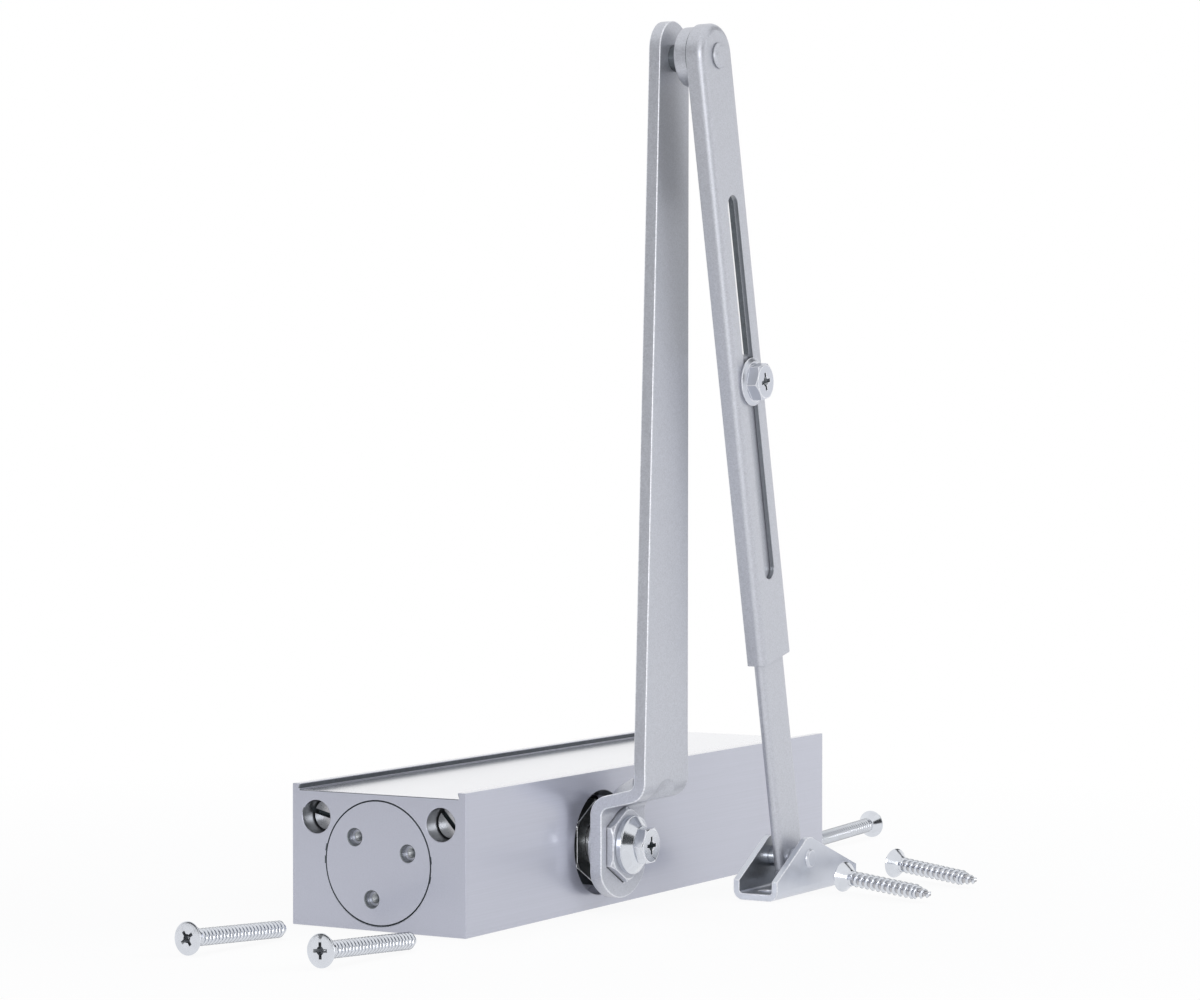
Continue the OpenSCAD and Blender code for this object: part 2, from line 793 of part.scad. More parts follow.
module shoe_outline() {
    inner = ear_radius - 0.12;
    front_turn = ear_turn(shoe_front, shoe_z - ear_front_height, inner);
    back_turn = ear_turn(shoe_back, shoe_z - ear_back_height, inner);
    polygon([[-shoe_front, 0], [-shoe_front, ear_front_height],
        [-inner * cos(front_turn), shoe_z + inner * sin(front_turn)],
        [inner * cos(back_turn), shoe_z + inner * sin(back_turn)],
        [shoe_back, ear_back_height], [shoe_back, 0]]);
}

module base_hole(x) {
    translate([x, bar_middle, -1]) cylinder(h = 4, d = shoe_hole);
}

module shoe_bracket() {
    color(steel) translate([shoe_x, 0, 0]) difference() {
        intersection() {
            along(-40, 40) shoe_section();
            union() {
                across(shoe_near - 1, shoe_far + 1) shoe_outline();
                rod_y(shoe_near - 1, shoe_far + 1, 0, shoe_z, ear_radius);
            }
        }
        rod_y(shoe_near - 1, shoe_far + 1, 0, shoe_z, shoe_pin / 2 + 0.02);
        base_hole(-13.5);
        base_hole(23.5);
    }
}

module shoe_rivet() {
    color(bright) {
        rod_y(shoe_near, shoe_far, shoe_x, shoe_z, shoe_pin / 2);
        cone_y(shoe_near - 0.8, shoe_near, shoe_x, shoe_z, 2.4, 3);
        cone_y(shoe_far, shoe_far + 0.8, shoe_x, shoe_z, 3, 2.4);
    }
}

module spacer_bush(y0, y1) {
    difference() {
        rod_y(y0, y1, shoe_x, shoe_z, 3.1);
        rod_y(y0 - 1, y1 + 1, shoe_x, shoe_z, shoe_pin / 2 + 0.02);
    }
}

module spacer_bushes() {
    color(bright) {
        spacer_bush(shoe_near + shoe_wall, bar_front - fit);
        spacer_bush(bar_back + fit, shoe_far - shoe_wall);
    }
}

// ---------- loose screws ----------
// A countersunk screw resting on its head rim and its far end, pointing along +X
module lying_screw(x, y, heading, length, tip_radius) {
    tilt = asin((screw_head - screw_shank) / 2 / length);
    translate([x, y, screw_head / 2]) rotate([0, 0, heading]) rotate([0, 90 + tilt, 0]) difference() {
        union() {
            cylinder(h = 0.4, d = screw_head);
            translate([0, 0, 0.4]) cylinder(h = 2.5, d1 = screw_head, d2 = screw_shank);
            cylinder(h = length - (screw_shank / 2 - tip_radius) * 2, d = screw_shank);
            translate([0, 0, length - (screw_shank / 2 - tip_radius) * 2])
                cylinder(h = (screw_shank / 2 - tip_radius) * 2, r1 = screw_shank / 2, r2 = tip_radius);
        }
        cube([4.6, 1, 3.4], center = true);
        cube([1, 4.6, 3.4], center = true);
    }
}

module machine_screws() {
    color(bright) {
        lying_screw(front_end - screws_ahead, -near_face - 9.9, -4, machine_screw_length, 2.2);
        lying_screw(front_end - screws_ahead - 0.2, near_face + 5, -3.5, machine_screw_length, 2.2);
        lying_screw(back_end + screw_beyond, near_face + 6.8, 177, long_screw_length, 2.2);
    }
}

module wood_screws() {
    side = shoe_near - screw_head / 2 - 1;
    color(bright) {
        lying_screw(shoe_x + screws_along, side - 0.7, -106, wood_screw_length, 0.3);
        lying_screw(shoe_x + screws_along + wood_screw_gap, side, -109, wood_screw_length, 0.3);
    }
}

housing();
end_cap_front();
end_cap_rear();
cap_ring_front();
cap_ring_rear();
gland_nut_front();
gland_nut_rear();
bearing_front();
bearing_rear();
shaft_seal_front();
shaft_seal_rear();
closing_valve();
closing_valve_ring();
latching_valve();
latching_valve_ring();
piston();
piston_seal();
check_ball();
spring_seat();
outer_spring();
inner_spring();
pinion();
hex_insert();
main_arm();
cone_washer();
arm_bolt();
elbow_rivet();
elbow_boss();
forearm_channel();
forearm_bar();
clamp_screw();
shoe_bracket();
shoe_rivet();
spacer_bushes();
machine_screws();
wood_screws();
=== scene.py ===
"""Looks of the scissor arm door closer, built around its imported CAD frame."""

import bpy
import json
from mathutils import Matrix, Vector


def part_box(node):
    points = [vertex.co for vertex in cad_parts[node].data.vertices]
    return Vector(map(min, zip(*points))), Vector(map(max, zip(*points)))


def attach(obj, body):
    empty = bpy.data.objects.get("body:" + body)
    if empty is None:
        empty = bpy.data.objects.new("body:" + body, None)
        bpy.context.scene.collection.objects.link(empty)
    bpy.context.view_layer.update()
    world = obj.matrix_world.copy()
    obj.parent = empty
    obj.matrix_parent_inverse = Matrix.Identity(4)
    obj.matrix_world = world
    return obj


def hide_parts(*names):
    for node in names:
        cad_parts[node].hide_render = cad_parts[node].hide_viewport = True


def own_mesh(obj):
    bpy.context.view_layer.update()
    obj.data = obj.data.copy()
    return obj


bl_info = {
    "name": "Scissor Arm Door Closer Dressing",
    "version": (1, 0, 0),
    "blender": (4, 5, 0),
    "location": "3D View > Sidebar > Door Closer",
    "description": "Dresses a rack and pinion door closer in its finishes, on a plain stage",
    "category": "Object",
}

import json
import math

import bmesh
import bpy
from mathutils import Matrix, Vector

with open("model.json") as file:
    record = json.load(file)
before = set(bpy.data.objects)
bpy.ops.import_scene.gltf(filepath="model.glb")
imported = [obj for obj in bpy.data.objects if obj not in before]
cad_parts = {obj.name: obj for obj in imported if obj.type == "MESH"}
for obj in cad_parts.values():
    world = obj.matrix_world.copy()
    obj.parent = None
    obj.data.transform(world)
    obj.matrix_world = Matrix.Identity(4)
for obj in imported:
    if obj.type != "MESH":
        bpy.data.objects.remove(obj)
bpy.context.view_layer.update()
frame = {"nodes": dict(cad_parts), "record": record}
BODIES = frame["record"]["behaviour"]["bodies"]
BODY_OF = {node: body for body, nodes in BODIES.items() for node in nodes}
SLOT_OF = {part["node"]: part["material_slot"] for part in frame["record"]["subparts"]}

MM = 0.001

# Measures of the CAD solids, in millimetres, by which their faces are told apart
VALVE_BORE = 9.4  # diameter of the counterbore round a regulating valve
CAP_RADIUS = 17.35
CAP_GAP = 0.15  # from an end cap to the middle of the dark ring round it
RECESS_SIDE = 25.0  # from the middle of the body to its recess's side walls
RECESS_LOW = 30.0  # height that all faces of the recess pass
ARM_PLATE = 4.0
INSERT_FLATS = 19.3
CORNER_REACH = 1.6  # from the insert's flats to its corners
DART_HALF_WIDTH = 6.8
DART_LOW, DART_HIGH = 20.0, 42.0
CHANNEL_INSIDE = 15.4
FOREARM_LEAN = math.radians(12.3)
SLOT_WIDTH = 6.3
SLOT_START = 20.0  # down the forearm from the elbow
SHOE_WALL = 2.0
HEX_FLATS = 10.0  # of the arm bolt and the clamp screw

# How far a face may lie off such a measure, in millimetres
TOUCH = 0.02
SLACK = 0.05
RING_WIDTH = 0.3

# How a face lies to an axis, by the cosine between its normal and that axis
SLOPE = 0.1
WALL = 0.5
SQUARE = 0.9

# Cross recesses of all screws, in millimetres
RECESS_SPAN = 5.2
RECESS_DEPTH = 2.3
RECESS_LIP = 0.25  # depth of the rounding at its mouth, which keeps the screw's finish

# Clean copies of CAD solids: metres, and an angle under which two faces are one
MERGE = 2e-6
SLIVER = 2e-5
FLAT = math.radians(0.6)

# Degrees by which an edge has to pass the rounding's own angle to stay sharp
SHARP_MARGIN = 8.0

# Material number that lets a rounded edge take the finish of the faces beside it
LIKE_NEIGHBOURS = -1

# Finishes of the loose screws: plating, painted shade in the recess, and the inner steel colour as
# painted shade on the core between the threads
SCREW_FINISHES = ("bright_zinc", "wall_shade", "inner_steel")

COAT_ROUGHNESS = 0.14

# The studio, in metres
FLOOR_REACH = 6.0
FLOOR_DROP = 0.0002
CARD_DISTANCE = 2.5
CARD_GLOW = 0.05
# name, place, aim, size, power in watts, whether reflections see it
LAMPS = (
    ("Camera Side", (-1.3, -0.72, 0.25), (0.0, 0.0, 0.1), 0.5, 5.5, True),
    ("Right", (0.9, -1.3, 0.7), (0.0, 0.0, 0.1), 0.9, 9.0, False),
    ("Top", (0.0, 0.2, 1.6), (0.0, 0.0, 0.0), 1.4, 8.0, False),
)
# name, bearing in degrees, width, lower edge, upper edge
CARDS = (
    ("Card Left", -107.0, 1.25, 0.1, 1.7),
    ("Card Behind Left", 150.0, 1.6, 0.22, 1.8),
    ("Card Right", -30.0, 1.6, 0.8, 3.0),
)
# the card that lies flat: bearing in degrees, width, length, and the middle of its near edge
FLAT_CARD = (152.0, 0.9, 0.7, (-0.48, 0.255, 0.003))


# ---------------------------------------------------------------- settings


def colour_setting(name, description, default):
    """A colour that the user may change"""
    return bpy.props.FloatVectorProperty(
        name=name, description=description, subtype="COLOR", size=3, default=default)


def length_setting(name, description, default, low, high):
    """A length that the user may change, written in millimetres and kept in metres"""
    return bpy.props.FloatProperty(
        name=name, description=description, subtype="DISTANCE", unit="LENGTH",
        default=default * MM, min=low * MM, max=high * MM)


class CloserFinish(bpy.types.PropertyGroup):
    """Colours of the closer's finishes, among them painted shade, painted glints and a painted
    highlight
    """

    body: colour_setting("Body aluminium", "Brushed anodised body", (0.49, 0.505, 0.59))
    # Painted highlight: the machined recess floor is painted lighter for the sheen it catches at a
    # grazing angle
    milled_highlight: colour_setting(
        "Milled recess highlight", "Machined floor of the body's recess, painted lighter as a highlight", (0.58, 0.595, 0.665))
    arm: colour_setting("Arm silver", "Metallic paint of the arms", (0.55, 0.565, 0.615))
    zinc: colour_setting("Bright zinc", "Plating of the fasteners", (0.69, 0.715, 0.765))
    shoe: colour_setting(
        "Shoe steel", "Satin plating of the shoe and the clamp screw", (0.60, 0.625, 0.69))
    black: colour_setting("Black oxide", "Shaft nuts", (0.13, 0.14, 0.14))
    # Painted highlight: a glint painted on the rounded edges of the black nuts
    oxide_glint: colour_setting("Oxide glint", "Painted glint on the edges of the black nuts", (0.72, 0.74, 0.76))
    # Painted highlight: a glint painted on the rounded edges of arm, insert, shoe and hexagon
    # screws
    edge_glint: colour_setting(
        "Edge glint", "Painted glint on the edges of arm, shoe and screws", (0.80, 0.815, 0.86))
    # Painted shade: a mid shade on walls of holes and slots, in screw recesses and on the shoe's
    # far wall
    wall_shade: colour_setting(
        "Wall shade", "Walls of holes and slots, and recesses of screws", (0.31, 0.325, 0.345))
    # Painted shade: a dark shade inside the folded forearm, under the body's ribs, behind the
    # elbow and at mouths of holes
    hollow_shade: colour_setting(
        "Hollow shade", "Inside of the folded forearm and dark mouths of holes", (0.17, 0.185, 0.20))
    shade: colour_setting(
        "Recess shade", "Deep gaps, slots and recesses", (0.06, 0.075, 0.085))
    inner: colour_setting("Inner steel", "Piston, pinion and bearings", (0.50, 0.50, 0.52))
    spring: colour_setting("Spring wire", "Return springs", (0.30, 0.30, 0.32))
    rubber: colour_setting("Seal rubber", "Sealing rings", (0.02, 0.02, 0.02))


class CloserSizes(bpy.types.PropertyGroup):
    """Sizes of edges, threads and loose screws"""

    body_edge: length_setting("Body edge", "Broken edge of the body", 0.25, 0.05, 1.0)
    arm_edge: length_setting("Arm edge", "Rounded edge of the stamped arm", 0.32, 0.1, 1.8)
    channel_edge: length_setting(
        "Channel edge", "Rounded edge of the folded forearm", 0.3, 0.05, 0.6)
    shoe_edge: length_setting("Shoe edge", "Rounded edge of the shoe", 0.25, 0.05, 0.8)
    machine_pitch: length_setting(
        "Machine thread pitch", "Pitch of the machine screws", 1.45, 0.5, 1.6)
    wood_pitch: length_setting("Wood thread pitch", "Pitch of the wood screws", 2.2, 1.5, 3.0)
    shank: length_setting("Screw shank", "Diameter over the threads", 4.76, 3.0, 6.0)
    head: length_setting("Screw head", "Diameter of the countersunk heads", 9.2, 8.0, 10.0)


class CloserStage(bpy.types.PropertyGroup):
    """Camera and light of the studio"""

    azimuth: bpy.props.FloatProperty(
        name="Azimuth", description="Camera direction round the closer", subtype="ANGLE",
        default=math.radians(-59.91))
    elevation: bpy.props.FloatProperty(
        name="Elevation", description="Camera height angle", subtype="ANGLE",
        default=math.radians(1.04))
    camera_place: bpy.props.FloatVectorProperty(
        name="Camera place", description="Camera position", size=3, subtype="TRANSLATION",
        unit="LENGTH", default=(-0.85929, -0.52657, 0.13739))
    lens: bpy.props.FloatProperty(
        name="Lens", description="Focal length", subtype="DISTANCE_CAMERA", unit="CAMERA",
        default=101.81)
    light: bpy.props.FloatProperty(
        name="Ambient", description="Strength of the ambient light", default=0.5, min=0.0)


# ---------------------------------------------------------------- meshes


def add_object(name, mesh):
    """Adds an object to the scene, at the origin"""
    piece = bpy.data.objects.new(name, mesh)
    bpy.context.scene.collection.objects.link(piece)
    return piece


def object_from_bmesh(name, shape, place=Matrix.Identity(4), scale=MM):
    """A mesh object from a shape drawn in millimetres, its place baked into the mesh"""
    bmesh.ops.remove_doubles(shape, verts=shape.verts, dist=1e-5)
    bmesh.ops.recalc_face_normals(shape, faces=shape.faces)
    shape.transform(Matrix.Scale(scale, 4) @ place)
    mesh = bpy.data.meshes.new(name)
    shape.to_mesh(mesh)
    shape.free()
    return add_object(name, mesh)


def lathe(profile, steps=64):
    """A closed solid turned about Z from (radius, height) points, poles at both ends"""
    shape = bmesh.new()
    rings = []
    for radius, height in profile:
        turns = [2 * math.pi * k / steps for k in range(steps if radius > 0 else 1)]
        rings.append([shape.verts.new((radius * math.cos(turn), radius * math.sin(turn), height))
                      for turn in turns])
    for low, high in zip(rings, rings[1:]):
        for k in range(steps):
            after = (k + 1) % steps
            if len(low) == 1:
                shape.faces.new((low[0], high[k], high[after]))
            elif len(high) == 1:
                shape.faces.new((low[k], low[after], high[0]))
            else:
                shape.faces.new((low[k], low[after], high[after], high[k]))
    return shape


def tapered_box(wide, long, wide_low, long_low, high, low):
    """A box whose lower end is narrower, for cutting driver recesses"""
    shape = bmesh.new()
    corners = ((-1, -1), (1, -1), (1, 1), (-1, 1))
    top = [shape.verts.new((x * long / 2, y * wide / 2, high)) for x, y in corners]
    bottom = [shape.verts.new((x * long_low / 2, y * wide_low / 2, low)) for x, y in corners]
    for k in range(4):
        after = (k + 1) % 4
        shape.faces.new((bottom[k], bottom[after], top[after], top[k]))
    shape.faces.new(top)
    shape.faces.new(bottom[::-1])
    return shape


def bake_modifiers(piece):
    """Replaces the piece's mesh by its evaluated one and drops its modifiers"""
    bpy.context.view_layer.update()
    graph = bpy.context.evaluated_depsgraph_get()
    mesh = bpy.data.meshes.new_from_object(piece.evaluated_get(graph), depsgraph=graph)
    piece.modifiers.clear()
    old = piece.data
    piece.data = mesh
    bpy.data.meshes.remove(old)
    return piece


def carve(piece, cutters, operation="DIFFERENCE"):
    """Cuts the cutters from the piece, or adds or intersects them, and leaves a plain mesh"""
    for cutter in cutters:
        step = piece.modifiers.new("Cut", "BOOLEAN")
        step.operation = operation
        step.solver = "EXACT"
        step.object = cutter
    bake_modifiers(piece)
    for cutter in cutters:
        bpy.data.objects.remove(cutter, do_unlink=True)
    return piece


def even_normals(piece, angle):
    """Smooth shading with flat faces kept flat, and edges above the angle in degrees sharp"""
    for face in piece.data.polygons:
        face.use_smooth = True
    piece.data.set_sharp_from_angle(angle=math.radians(angle))
    step = piece.modifiers.new("Even", "WEIGHTED_NORMAL")
    step.mode = "FACE_AREA"
    step.weight = 100
    step.keep_sharp = True
    return bake_modifiers(piece)


def round_edges(piece, width, steps, angle, finish=LIKE_NEIGHBOURS):
    """Rounds edges above the angle in degrees, by a width in millimetres; finish is a number"""
    step = piece.modifiers.new("Round", "BEVEL")
    step.width = width * MM
    step.segments = steps
    step.limit_method = "ANGLE"
    step.angle_limit = math.radians(angle)
    step.miter_outer = "MITER_ARC"
    step.use_clamp_overlap = False
    step.material = finish
    bake_modifiers(piece)
    return even_normals(piece, angle + SHARP_MARGIN)


def copy_of_node(node):
    """A copy of a CAD node's mesh with its doubles merged and its flat faces joined"""
    name = node + "_finish"
    shape = bmesh.new()
    shape.from_mesh(frame["nodes"][node].data)
    bmesh.ops.remove_doubles(shape, verts=shape.verts, dist=MERGE)
    bmesh.ops.dissolve_limit(shape, angle_limit=FLAT, verts=shape.verts, edges=shape.edges)
    bmesh.ops.dissolve_degenerate(shape, dist=SLIVER, edges=shape.edges)
    mesh = bpy.data.meshes.new(name)
    shape.to_mesh(mesh)
    shape.free()
    return add_object(name, mesh)


def join(pieces, name):
    """Joins pieces into one mesh object, which keeps the material numbers of their faces"""
    shape = bmesh.new()
    for piece in pieces:
        shape.from_mesh(piece.data)
    mesh = bpy.data.meshes.new(name)
    shape.to_mesh(mesh)
    shape.free()
    for piece in pieces:
        bpy.data.objects.remove(piece, do_unlink=True)
    return add_object(name, mesh)


def paint(piece, names):
    """Gives the piece these finishes, the first of them on its faces"""
    looks = finishes()
    for name in names:
        piece.data.materials.append(looks[name])
    return piece


def repaint(piece, names, choose):
    """Gives each face the finish that choose(centre in millimetres, normal) names, if any"""
    for face in piece.data.polygons:
        wanted = choose([v / MM for v in face.center], face.normal)
        if wanted is not None:
            face.material_index = names.index(wanted)
    return piece


def stand_for(piece, node):
    """Hides the CAD node that a finished piece replaces, and gives the piece that node's body"""
    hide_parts(node)
    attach(piece, BODY_OF[node])


def dress(node, names, width, steps, angle, edge=None, add=None, choose=None):
    """Replaces a node by its rounded copy, whose first finish is on its faces

    add is a shape that is joined to the copy first, edge the finish of the rounded edges, and
    choose names the finish of single faces.
    """
    piece = paint(copy_of_node(node), names)
    if add:
        carve(piece, [add], "UNION")
    round_edges(piece, width, steps, angle, names.index(edge) if edge else LIKE_NEIGHBOURS)
    if choose:
        repaint(piece, names, choose)
    stand_for(piece, node)


def facing(place, normal):
    """Turns +Z to the normal and moves the origin to a place in millimetres"""
    turn = Vector(normal).to_track_quat("Z", "Y").to_matrix().to_4x4()
    return Matrix.Translation(place) @ turn


def low_mm(node):
    """A CAD node's lowest corner"""
    return [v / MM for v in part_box(node)[0]]


def high_mm(node):
    """A CAD node's highest corner"""
    return [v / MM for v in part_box(node)[1]]


def centre_mm(node):
    """The middle of a CAD node's box"""
    low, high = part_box(node)
    return [(low[k] + high[k]) / 2 / MM for k in range(3)]


# ---------------------------------------------------------------- node trees


def add_node(tree, kind, at, values=None, **settings):
    """Adds a node with its settings and the values of its input sockets"""
    node = tree.nodes.new(kind)
    node.location = at
    for key, value in settings.items():
        setattr(node, key, value)
    for label, value in (values or {}).items():
        node.inputs[label].default_value = value
    return node


def link(source, output, target, entry):
    """Links an output of one node to an input of another, by name or number"""
    source.id_data.links.new(source.outputs[output], target.inputs[entry])


def start_group(name, kind, inputs, outputs):
    """A new node group with sockets of (label, kind, default) and (label, kind), and its ends"""
    tree = bpy.data.node_groups.new(name, kind)
    for label, socket_kind, default in inputs:
        socket = tree.interface.new_socket(
            label, in_out="INPUT", socket_type="NodeSocket" + socket_kind)
        if default is not None:
            socket.default_value = default
    for label, socket_kind in outputs:
        tree.interface.new_socket(label, in_out="OUTPUT", socket_type="NodeSocket" + socket_kind)
    inlet = add_node(tree, "NodeGroupInput", (-900, 0))
    outlet = add_node(tree, "NodeGroupOutput", (900, 0))
    return tree, inlet, outlet


def grain_group():
    """Fine lines running along one direction, as a height and a tone that vary over the surface"""
    name = "Brushed Grain"
    if name in bpy.data.node_groups:
        return bpy.data.node_groups[name]
    tree, inlet, outlet = start_group(
        name, "ShaderNodeTree",
        [("Along", "Float", 6.0), ("Across", "Float", 900.0), ("Depth", "Float", 0.5)],
        [("Tone", "Float"), ("Height", "Float")])
    place = add_node(tree, "ShaderNodeTexCoord", (-900, 250))
    scale = add_node(tree, "ShaderNodeCombineXYZ", (-700, 0))
    stretch = add_node(tree, "ShaderNodeVectorMath", (-500, 150), operation="MULTIPLY")
    lines = add_node(tree, "ShaderNodeTexNoise", (-300, 150), {"Scale": 1.0, "Detail": 3.0})
    depth = add_node(tree, "ShaderNodeMath", (-50, -50), operation="MULTIPLY")
    link(inlet, "Along", scale, "X")
    link(inlet, "Across", scale, "Y")
    link(inlet, "Across", scale, "Z")
    link(place, "Object", stretch, 0)
    link(scale, "Vector", stretch, 1)
    link(stretch, "Vector", lines, "Vector")
    link(lines, "Fac", depth, 0)
    link(inlet, "Depth", depth, 1)
    link(lines, "Fac", outlet, "Tone")
    link(depth, "Value", outlet, "Height")
    return tree


def flake_group():
    """Small bright flakes and a soft peel, as a tone and a height"""
    name = "Metal Flake"
    if name in bpy.data.node_groups:
        return bpy.data.node_groups[name]
    tree, inlet, outlet = start_group(
        name, "ShaderNodeTree",
        [("Flake Scale", "Float", 2600.0), ("Peel Scale", "Float", 700.0), ("Peel", "Float", 0.5)],
        [("Tone", "Float"), ("Height", "Float")])
    place = add_node(tree, "ShaderNodeTexCoord", (-900, 250))
    flakes = add_node(tree, "ShaderNodeTexVoronoi", (-500, 200))
    grey = add_node(tree, "ShaderNodeRGBToBW", (-300, 200))
    peel = add_node(tree, "ShaderNodeTexNoise", (-500, -100), {"Detail": 2.0})
    mix = add_node(tree, "ShaderNodeMath", (-100, -50), operation="MULTIPLY_ADD")
    link(place, "Object", flakes, "Vector")
    link(inlet, "Flake Scale", flakes, "Scale")
    link(flakes, "Color", grey, "Color")
    link(place, "Object", peel, "Vector")
    link(inlet, "Peel Scale", peel, "Scale")
    link(peel, "Fac", mix, 0)
    link(inlet, "Peel", mix, 1)
    link(grey, "Val", mix, 2)
    link(grey, "Val", outlet, "Tone")
    link(mix, "Value", outlet, "Height")
    return tree


def metal(name, colour, pattern, values, rough, metallic, tone=(0.94, 1.04), rough_swing=0.04,
          bump=0.1, distance=0.03, coat=0.0):
    """A finish whose tone, roughness and relief come from a shader group; distance is in mm"""
    if name in bpy.data.materials:
        return bpy.data.materials[name]
    material = bpy.data.materials.new(name)
    material.use_nodes = True
    tree = material.node_tree
    shader = tree.nodes["Principled BSDF"]
    shader.inputs["Metallic"].default_value = metallic
    shader.inputs["Coat Weight"].default_value = coat
    shader.inputs["Coat Roughness"].default_value = COAT_ROUGHNESS
    effect = add_node(tree, "ShaderNodeGroup", (-900, 0), values, node_tree=pattern)
    tones = add_node(tree, "ShaderNodeMapRange", (-650, 200),
                     {"To Min": tone[0], "To Max": tone[1]})
    shade = add_node(tree, "ShaderNodeVectorMath", (-400, 200), {0: colour}, operation="SCALE")
    roughness = add_node(tree, "ShaderNodeMapRange", (-650, -50),
                         {"To Min": rough - rough_swing, "To Max": rough + rough_swing})
    relief = add_node(tree, "ShaderNodeBump", (-400, -250),
                      {"Strength": bump, "Distance": distance * MM})
    link(effect, "Tone", tones, "Value")
    link(tones, "Result", shade, "Scale")
    link(shade, "Vector", shader, "Base Color")
    link(effect, "Tone", roughness, "Value")
    link(roughness, "Result", shader, "Roughness")
    link(effect, "Height", relief, "Height")
    link(relief, "Normal", shader, "Normal")
    return material


def finishes():
    """The closer's finishes, painted shade and painted glints among them, by the record's slots
    and by names of their own
    """
    colours = bpy.context.scene.closer_finish
    grain, flake = grain_group(), flake_group()
    brushed = {"Along": 14.0, "Across": 2200.0, "Depth": 1.0}
    satin = {"Along": 250.0, "Across": 250.0, "Depth": 0.5}
    ground = {"Along": 900.0, "Across": 900.0, "Depth": 0.6}
    painted = {"Flake Scale": 3000.0, "Peel Scale": 900.0}
    plated = {"Flake Scale": 500.0, "Peel Scale": 300.0}
    drawn = {"Flake Scale": 600.0, "Peel Scale": 300.0}
    dull = {"Flake Scale": 900.0, "Peel Scale": 500.0}
    moulded = {"Flake Scale": 900.0, "Peel Scale": 400.0}
    return {
        "body_aluminium": metal(
            "Brushed Aluminium", colours.body, grain, brushed, rough=0.33, metallic=0.62,
            tone=(0.92, 1.06), rough_swing=0.05, bump=0.12, distance=0.02, coat=1.0),
        # Machined recess floor, lighter as a painted highlight
        "milled_highlight": metal(
            "Milled Aluminium Highlight", colours.milled_highlight, grain, brushed, rough=0.2, metallic=0.62,
            tone=(0.96, 1.03), bump=0.06, distance=0.02, coat=1.0),
        "arm_silver": metal(
            "Silver Metallic Paint", colours.arm, flake, painted, rough=0.42, metallic=0.62,
            tone=(0.88, 1.1), rough_swing=0.06, bump=0.28),
        # Painted highlight for rounded edges, standing in for lamp glints
        "edge_glint": metal(
            "Painted Edge Glint", colours.edge_glint, flake, painted, rough=0.35, metallic=0.4,
            tone=(0.8, 1.15), bump=0.06, distance=0.02),
        "bright_zinc": metal(
            "Bright Zinc", colours.zinc, flake, plated, rough=0.17, metallic=1.0,
            tone=(0.95, 1.03), rough_swing=0.03, bump=0.06),
        "shoe_steel": metal(
            "Satin Steel", colours.shoe, grain, satin, rough=0.3, metallic=0.85,
            tone=(0.94, 1.05), bump=0.03, distance=0.02),
        "black_nut": metal(
            "Black Oxide", colours.black, flake, dull, rough=0.22, metallic=0.8,
            tone=(0.9, 1.1), rough_swing=0.05, bump=0.08),
        # Painted highlight for the nuts' rounded edges
        "oxide_glint": metal(
            "Painted Oxide Glint", colours.oxide_glint, flake, dull, rough=0.3, metallic=0.9,
            tone=(0.8, 1.2)),
        "shade": metal(
            "Recess Shade", colours.shade, flake, dull, rough=0.5, metallic=0.6, tone=(0.8, 1.2)),
        # Painted shade for hollows, undercuts and mouths of holes
        "hollow_shade": metal(
            "Painted Hollow Shade", colours.hollow_shade, flake, dull, rough=0.45, metallic=0.8, tone=(0.85, 1.15)),
        # Painted shade for walls of holes and slots and for screw recesses
        "wall_shade": metal(
            "Painted Wall Shade", colours.wall_shade, grain, ground, rough=0.3, metallic=0.9, tone=(0.85, 1.15),
            distance=0.02),
        "inner_steel": metal(
            "Ground Steel", colours.inner, grain, ground, rough=0.28, metallic=1.0, bump=0.08,
            distance=0.02),
        "spring_steel": metal(
            "Spring Wire", colours.spring, flake, drawn, rough=0.35, metallic=1.0, bump=0.08),
        "seal_rubber": metal(
            "Seal Rubber", colours.rubber, flake, moulded, rough=0.6, metallic=0.0,
            tone=(0.9, 1.1), bump=0.05),
    }


def thread_tree():
    """A helical ridge wound on a round core, both along +Z from the origin, in metres"""
    name = "Wound Thread"
    if name in bpy.data.node_groups:
        return bpy.data.node_groups[name]
    tree, inlet, outlet = start_group(
        name, "GeometryNodeTree",
        [("Length", "Float", 0.03), ("Pitch", "Float", 0.001), ("Start Radius", "Float", 0.002),
         ("End Radius", "Float", 0.002), ("Ridge", "Float", 0.0004),
         ("Material", "Material", None)],
        [("Geometry", "Geometry")])
    turns = add_node(tree, "ShaderNodeMath", (-650, 200), operation="DIVIDE")
    spiral = add_node(tree, "GeometryNodeCurveSpiral", (-400, 200), {"Resolution": 24})
    upright = add_node(tree, "GeometryNodeSetCurveNormal", (-200, 200), mode="Z_UP")
    profile = add_node(tree, "GeometryNodeCurvePrimitiveCircle", (-200, -50), {"Resolution": 4})
    ridge = add_node(tree, "GeometryNodeCurveToMesh", (50, 200), {"Fill Caps": True})
    core = add_node(tree, "GeometryNodeMeshCone", (-200, -250), {"Vertices": 24})
    both = add_node(tree, "GeometryNodeJoinGeometry", (300, 0))
    real = add_node(tree, "GeometryNodeRealizeInstances", (480, 0))
    coat = add_node(tree, "GeometryNodeSetMaterial", (680, 0))
    link(inlet, "Length", turns, 0)
    link(inlet, "Pitch", turns, 1)
    link(turns, "Value", spiral, "Rotations")
    link(inlet, "Start Radius", spiral, "Start Radius")
    link(inlet, "End Radius", spiral, "End Radius")
    link(inlet, "Length", spiral, "Height")
    link(spiral, "Curve", upright, "Curve")
    link(inlet, "Ridge", profile, "Radius")
    link(upright, "Curve", ridge, "Curve")
    link(profile, "Curve", ridge, "Profile Curve")
    link(inlet, "Length", core, "Depth")
    link(inlet, "End Radius", core, "Radius Top")
    link(inlet, "Start Radius", core, "Radius Bottom")
    link(core, "Mesh", both, "Geometry")
    link(ridge, "Mesh", both, "Geometry")
    link(both, "Geometry", real, "Geometry")
    link(real, "Geometry", coat, "Geometry")
    link(inlet, "Material", coat, "Material")
    link(coat, "Geometry", outlet, "Geometry")
    return tree


# ---------------------------------------------------------------- fasteners


